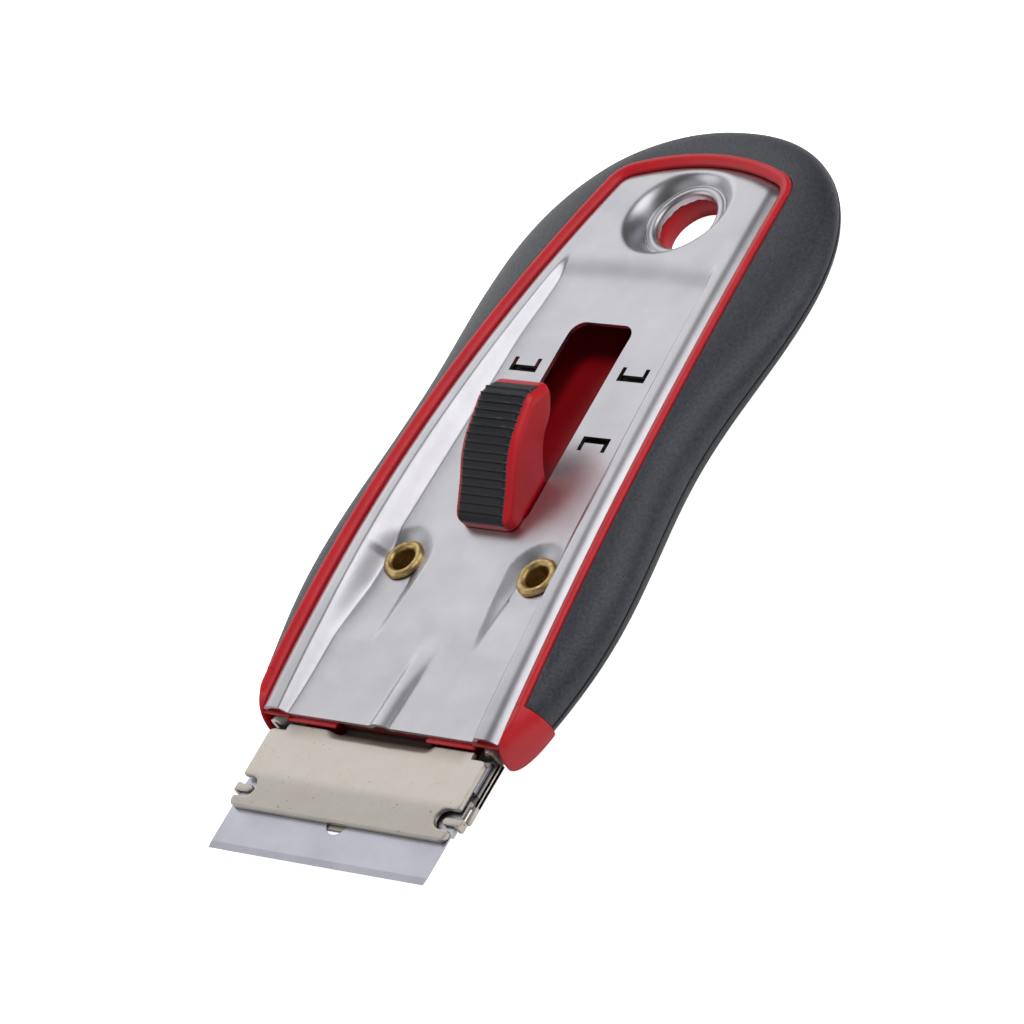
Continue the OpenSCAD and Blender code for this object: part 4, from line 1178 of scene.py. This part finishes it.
CLAMP_HALF_W = 19.1
CLAMP_FRONT = -13.9
CLAMP_BEND = -9.0
CLAMP_BEND_SOFT = 0.5
CLAMP_BACK = -0.8
CLAMP_LOW_Z = 3.8
CLAMP_FRONT_Z = 3.35
CLAMP_DIP = 1.3
CLAMP_DIP_LEN = 2.3
CLAMP_FRONT_R = 1.1
CLAMP_BACK_R = 0.8
CLAMP_TAIL_Z = 2.61
SHEET_T = 0.7
TAIL_HALF_W = 7.6
EAR_IN_X = 16.7
LUG_Y = -10.8
LUG_IN_X = 16.9
LUG_TIP_R = 0.55
LUG_T = 0.45
NOTCH_IN_X = 15.9
NOTCH_R = 1.5
NOTCH_BEVEL = 0.25


def clamp_z(x, y):
    """Top of the clamp plate, with a soft bend line."""
    slope = (CLAMP_LOW_Z - CLAMP_FRONT_Z) / (CLAMP_BEND - CLAMP_FRONT)
    fall = np.log1p(np.exp(np.clip((CLAMP_BEND - y) / CLAMP_BEND_SOFT, -30, 30))) * CLAMP_BEND_SOFT
    middle = 1 - step((np.abs(x) - TAIL_HALF_W) / 2.2)
    dip = CLAMP_DIP * step((y + CLAMP_DIP_LEN) / CLAMP_DIP_LEN) * middle
    return CLAMP_LOW_Z + SHEET_T - slope * fall - dip


def clamp_outline():
    w = CLAMP_HALF_W
    r = CLAMP_BACK_R
    reach = NOTCH_R + NOTCH_BEVEL
    narrow = EAR_IN_X - 0.3
    half = arc((w - CLAMP_FRONT_R, CLAMP_FRONT + CLAMP_FRONT_R), CLAMP_FRONT_R, -QUARTER, 0, 8)
    half += [(w, LUG_Y - reach), (w - NOTCH_BEVEL, LUG_Y - NOTCH_R)]
    half += arc((NOTCH_IN_X + NOTCH_R, LUG_Y), NOTCH_R, -QUARTER, -3 * QUARTER, 16)
    half += [(w - NOTCH_BEVEL, LUG_Y + NOTCH_R), (w, LUG_Y + reach)]
    half += arc((w - r, CLAMP_BACK - 1 - r), r, 0, QUARTER, 6)
    half += [(narrow, CLAMP_BACK - 1), (narrow, CLAMP_BACK), (TAIL_HALF_W, CLAMP_BACK), (TAIL_HALF_W, 0.7)]
    return half + mirrored(half[::-1])


def clamp_piece(material):
    outline = resample(clamp_outline(), 0.5)
    seeds = [(x, y) for y in np.arange(-13.8, 0.7, 0.4) for x in np.arange(-19, 19.01, 0.5)]
    plate = sheet("plate", outline, [], seeds, clamp_z, 0.2)
    thicken(plate, SHEET_T)
    bevel(plate, 0.12, 2, 50)
    tail_top = CLAMP_LOW_Z + SHEET_T - CLAMP_DIP - 0.3
    tail = box("tail", (-TAIL_HALF_W, 0.0, CLAMP_TAIL_Z), (TAIL_HALF_W, 0.5, tail_top))
    tongue = box("tongue", (-TAIL_HALF_W, 0.1, CLAMP_TAIL_Z), (TAIL_HALF_W, 6.6, CLAMP_TAIL_Z + SHEET_T))
    obj = join("clamp_skin", [plate, tail, tongue])
    dress(obj, "carriage", material, ["clamp_plate"])


# Carrier

CARRIER_HALF_W = 19.9
CARRIER_Z = 1.9
CARRIER_TOP_Z = CARRIER_Z + SHEET_T
CARRIER_FRONT = -12.4
CARRIER_END_Y = 41.3
LAND_BACK = -7.0
ARM_IN_X = 15.4
ARM_STATIONS = (CLAMP_BACK, -0.5, 0.2, 1.2, 3.0, 5.5, 8.0)
EAR_TOP_Z = 5.0
EAR_R = 1.15
EAR_FRONT_R = 0.62
EAR_GROWTH_LEN = 1.1
EAR_TURN = radians(205)
WALL_TOP_Z = 3.8
LIP_TOP_Z = 2.6
LAND_FRONT = -14.35
LIP_HALF_W = 6.0
BLADE_LOW_Z = 3.075
BLADE_TOP_Z = 3.325
LAND_Z = BLADE_LOW_Z - SHEET_T


def thick_line(line, thickness):
    """A closed outline round an open line of points, half the thickness each side."""
    line = [np.array(p) for p in line]
    sides = [normal * thickness / 2 for normal in line_normals(line)]
    return [p + side for p, side in zip(line, sides)] + [p - side for p, side in zip(line, sides)][::-1]


def ear_line(radius):
    """Side wall that curls over and inwards at its top, as x and z."""
    x = CARRIER_HALF_W - SHEET_T / 2
    z = CARRIER_Z + SHEET_T / 2
    points = [(ARM_IN_X, z), (x - 0.5, z), (x - 0.15, z + 0.12), (x, z + 0.5)]
    return points + arc((x - radius, EAR_TOP_Z - SHEET_T / 2 - radius), radius, 0, EAR_TURN, 12)


def carrier_arm(side):
    """Floor, side wall and curled ear of one side, growing wider from front to rear."""
    rings = []
    for y in ARM_STATIONS:
        share = min(1.0, (y - CLAMP_BACK) / EAR_GROWTH_LEN)
        line = ear_line(EAR_FRONT_R + (EAR_R - EAR_FRONT_R) * share)
        rings.append([(side * x, y, z) for x, z in thick_line(line, SHEET_T * 0.8)])
    return loft("arm", rings)


def carrier_side(side):
    """Side wall beside the blade, with the hooked lug over the blade."""
    w = CARRIER_HALF_W
    x = w - SHEET_T
    front = side_box("wall", side, (x, LUG_Y - 0.7, LAND_Z), (w, LUG_Y + 0.7, WALL_TOP_Z))
    back = side_box("wall", side, (x, LAND_BACK - 3.0, CARRIER_Z), (w, CLAMP_BACK + 0.1, LIP_TOP_Z))
    outline = arc((LUG_IN_X + LUG_TIP_R, LUG_Y), LUG_TIP_R, QUARTER, 3 * QUARTER, 12)
    outline += [(w, LUG_Y - LUG_TIP_R), (w, LUG_Y + LUG_TIP_R)]
    low = BLADE_TOP_Z + 0.12
    lug = prism("lug", [(side * x, y) for x, y in outline], low, low + LUG_T)
    for shell in (front, back, lug):
        bevel(shell, 0.14)
    return [carrier_arm(side), front, back, lug]


def carrier_piece(material):
    """Land under the blade with a lip under its hole, low floor, long tail, and both sides."""
    w = CARRIER_HALF_W
    flats = [box("land", (1.0 - w, CARRIER_FRONT, LAND_Z), (w - 1.0, LAND_BACK, BLADE_LOW_Z - 0.01)),
             box("lip", (-LIP_HALF_W, LAND_FRONT, LAND_Z),
                 (LIP_HALF_W, CARRIER_FRONT + 0.5, BLADE_LOW_Z - 0.02)),
             box("low", (-w, LAND_BACK - 0.6, CARRIER_Z), (w, CLAMP_BACK, CARRIER_TOP_Z)),
             box("tail", (-TAIL_HALF_W, CLAMP_BACK - 0.2, CARRIER_Z),
                 (TAIL_HALF_W, CARRIER_END_Y, CARRIER_TOP_Z - 0.01))]
    for shell in flats:
        bevel(shell, 0.12)
    obj = join("carrier_skin", carrier_side(-1) + carrier_side(1) + flats)
    dress(obj, "carriage", material, ["blade_carrier"])


# Blade's spine

SPINE_HALF_W = 19.12
SPINE_FRONT = -6.05
SPINE_BACK = -1.05
SPINE_MID_Z = 3.2
SPINE_H = 1.2
SPINE_SHEET_T = 0.34


def spine_piece(material):
    """Strip folded over the blade's back, a little uneven along its length."""
    r = (SPINE_H - SPINE_SHEET_T) / 2
    low = SPINE_MID_Z - r
    line = [(SPINE_FRONT, low), (SPINE_BACK - r - 0.2, low)]
    line += arc((SPINE_BACK - SPINE_SHEET_T / 2 - r, SPINE_MID_Z), r, -QUARTER, QUARTER, 10)
    line.append((SPINE_FRONT, SPINE_MID_Z + r))
    section = thick_line(line, SPINE_SHEET_T)
    xs = np.linspace(-SPINE_HALF_W, SPINE_HALF_W, 41)
    obj = loft("spine_fold", [[(x, y + 0.03 * sin(x * 0.7), z) for y, z in section] for x in xs])
    dress(obj, "carriage", material, ["blade_spine"])


def keep_nodes(material, *names):
    """CAD nodes that stay, with a finish of their own."""
    for name in names:
        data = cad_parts[name].data
        data.materials.clear()
        data.materials.append(material)
        for polygon in data.polygons:
            polygon.material_index = 0


# Studio

CAMERA_PLACE = (565.224, -343.569, 527.295)
CAMERA_RIGHT = (0.73479, 0.46543, -0.49341)
CAMERA_UP = (-0.09061, 0.78826, 0.60863)
CAMERA_LENS = 227.348
FLOOR_HALF_W = 3000.0
FLOOR_DROP = 0.05

# Each glow of the studio: direction, full and zero angles in degrees, and strength
WORLD_DARK = 0.06
WORLD_GLOWS = [((-0.68, 0.46, 0.57), 14, 31, 0.95),
               ((-0.72, -0.42, 0.55), 10, 30, 1.1),
               ((0.49, 0.40, 0.77), 14, 28, 1.8),
               ((-0.29, 0.40, 0.87), 5, 26, 0.32),
               ((0.81, 0.40, 0.43), 8, 20, 0.5),
               ((-0.94, 0.34, 0.0), 12, 34, 0.6),
               ((0.1, -0.85, 0.45), 8, 36, 0.4)]


def add_camera():
    data = bpy.data.cameras.new("camera")
    data.lens = CAMERA_LENS
    data.sensor_width = 36.0
    data.clip_start = 0.01
    data.clip_end = 20.0
    obj = add_object("camera", data)
    right = Vector(CAMERA_RIGHT).normalized()
    up = Vector(CAMERA_UP)
    up = (up - right * up.dot(right)).normalized()
    turn = Matrix((right, up, right.cross(up))).transposed()
    obj.matrix_world = Matrix.Translation(Vector(CAMERA_PLACE) * MM) @ turn.to_4x4()
    bpy.context.scene.camera = obj


def add_area(name, place, size, power):
    """A square soft light that looks at the object and isn't mirrored in it, in metres and watts."""
    data = bpy.data.lights.new(name, "AREA")
    data.shape = "RECTANGLE"
    data.size = size
    data.size_y = size
    data.energy = power
    obj = add_object(name, data)
    obj.location = place
    obj.rotation_euler = (-Vector(place)).to_track_quat("-Z", "Y").to_euler()
    obj.visible_glossy = False


def glow(nodes, direction, way, inner, outer):
    """1 within an angle of a direction, falling to 0 at a wider angle. Both are degrees."""
    dot = nodes.add("VectorMath", {0: direction, 1: Vector(way).normalized()}, operation="DOT_PRODUCT")
    return nodes.remap(dot.outputs["Value"], cos(radians(outer)), cos(radians(inner)), curve="SMOOTHSTEP")


def add_world():
    """A dark studio with soft glowing panels, and plain white where the camera looks past the object."""
    world = bpy.data.worlds.new("studio")
    bpy.context.scene.world = world
    world.use_nodes = True
    nodes = Nodes(world.node_tree)
    direction = nodes.add("TexCoord").outputs["Generated"]
    total = WORLD_DARK
    for way, inner, outer, level in WORLD_GLOWS:
        total = nodes.math("MULTIPLY_ADD", glow(nodes, direction, way, inner, outer), level, total)
    camera_ray = nodes.add("LightPath").outputs["Is Camera Ray"]
    background = world.node_tree.nodes["Background"]
    nodes.feed(background.inputs["Color"], nodes.mix(camera_ray, total, WHITE))
    nodes.feed(background.inputs["Strength"], 1.0)


def add_floor():
    """Pale floor that keeps the object's shadow."""
    half = FLOOR_HALF_W
    low = CAD_BOX[0][2] / MM - FLOOR_DROP
    corners = [(-half, -half), (half, -half), (half, half), (-half, half)]
    floor = mesh_object("floor", [(x, y - FRAME_Y, low) for x, y in corners], [(0, 1, 2, 3)])
    pale = Finish("floor", PALE, 0.0, 0.9)
    pale.set("Specular IOR Level", 0.0)
    path = pale.add("LightPath").outputs
    either = pale.math("MAXIMUM", path["Is Camera Ray"], path["Is Transmission Ray"])
    pale.set("Emission Color", WHITE)
    pale.set("Emission Strength", pale.remap(either, 0.0, 1.0, 0.0, 0.9))
    floor.data.materials.append(pale.material)


def build():
    nickel = nickel_material()
    red = red_material("red_plastic", 1.0)
    cover_piece(stainless_material())
    grip_piece(grip_material())
    base_piece(base_material())
    housing_piece(red)
    # Painted shade: the parts inside get a darker copy of the red plastic
    inside_piece(red_material("red_shaded_copy", 0.42))
    brass = brass_material()
    eyelet_piece("left", -1, brass)
    eyelet_piece("right", 1, brass)
    button_piece(red)
    pad_piece(rubber_material())
    clamp_piece(nickel)
    carrier_piece(nickel)
    spine_piece(steel_material("spine_steel", (0.42, 0.43, 0.47), 0.32, 1.5))
    keep_nodes(steel_material("blade_steel", (0.53, 0.535, 0.6), 0.3, 6.0), "razor_blade")
    keep_nodes(steel_material("spring_steel", (0.4, 0.39, 0.4), 0.35, 1.5), "lock_spring")
    keep_nodes(steel_material("rivet_steel", (0.45, 0.44, 0.43), 0.38, 1.0),
               "clamp_rivet_left", "clamp_rivet_right", "bracket_rivet", "pivot_pin")
    # Painted shade: the lock strips are near black so that they read as shadow in the slots
    keep_nodes(steel_material("strip_shade_steel", (0.03, 0.028, 0.028), 0.5, 1.5),
               "lock_strip_left", "lock_strip_right")
    keep_nodes(nickel, "button_bracket")


bpy.context.scene.view_settings.view_transform = "Standard"
add_camera()
add_world()
add_floor()
add_area("key", (0.25, 0.35, 1.0), 0.35, 7.0)
add_area("fill", (0.9, -0.45, 0.5), 0.6, 3.0)
build()
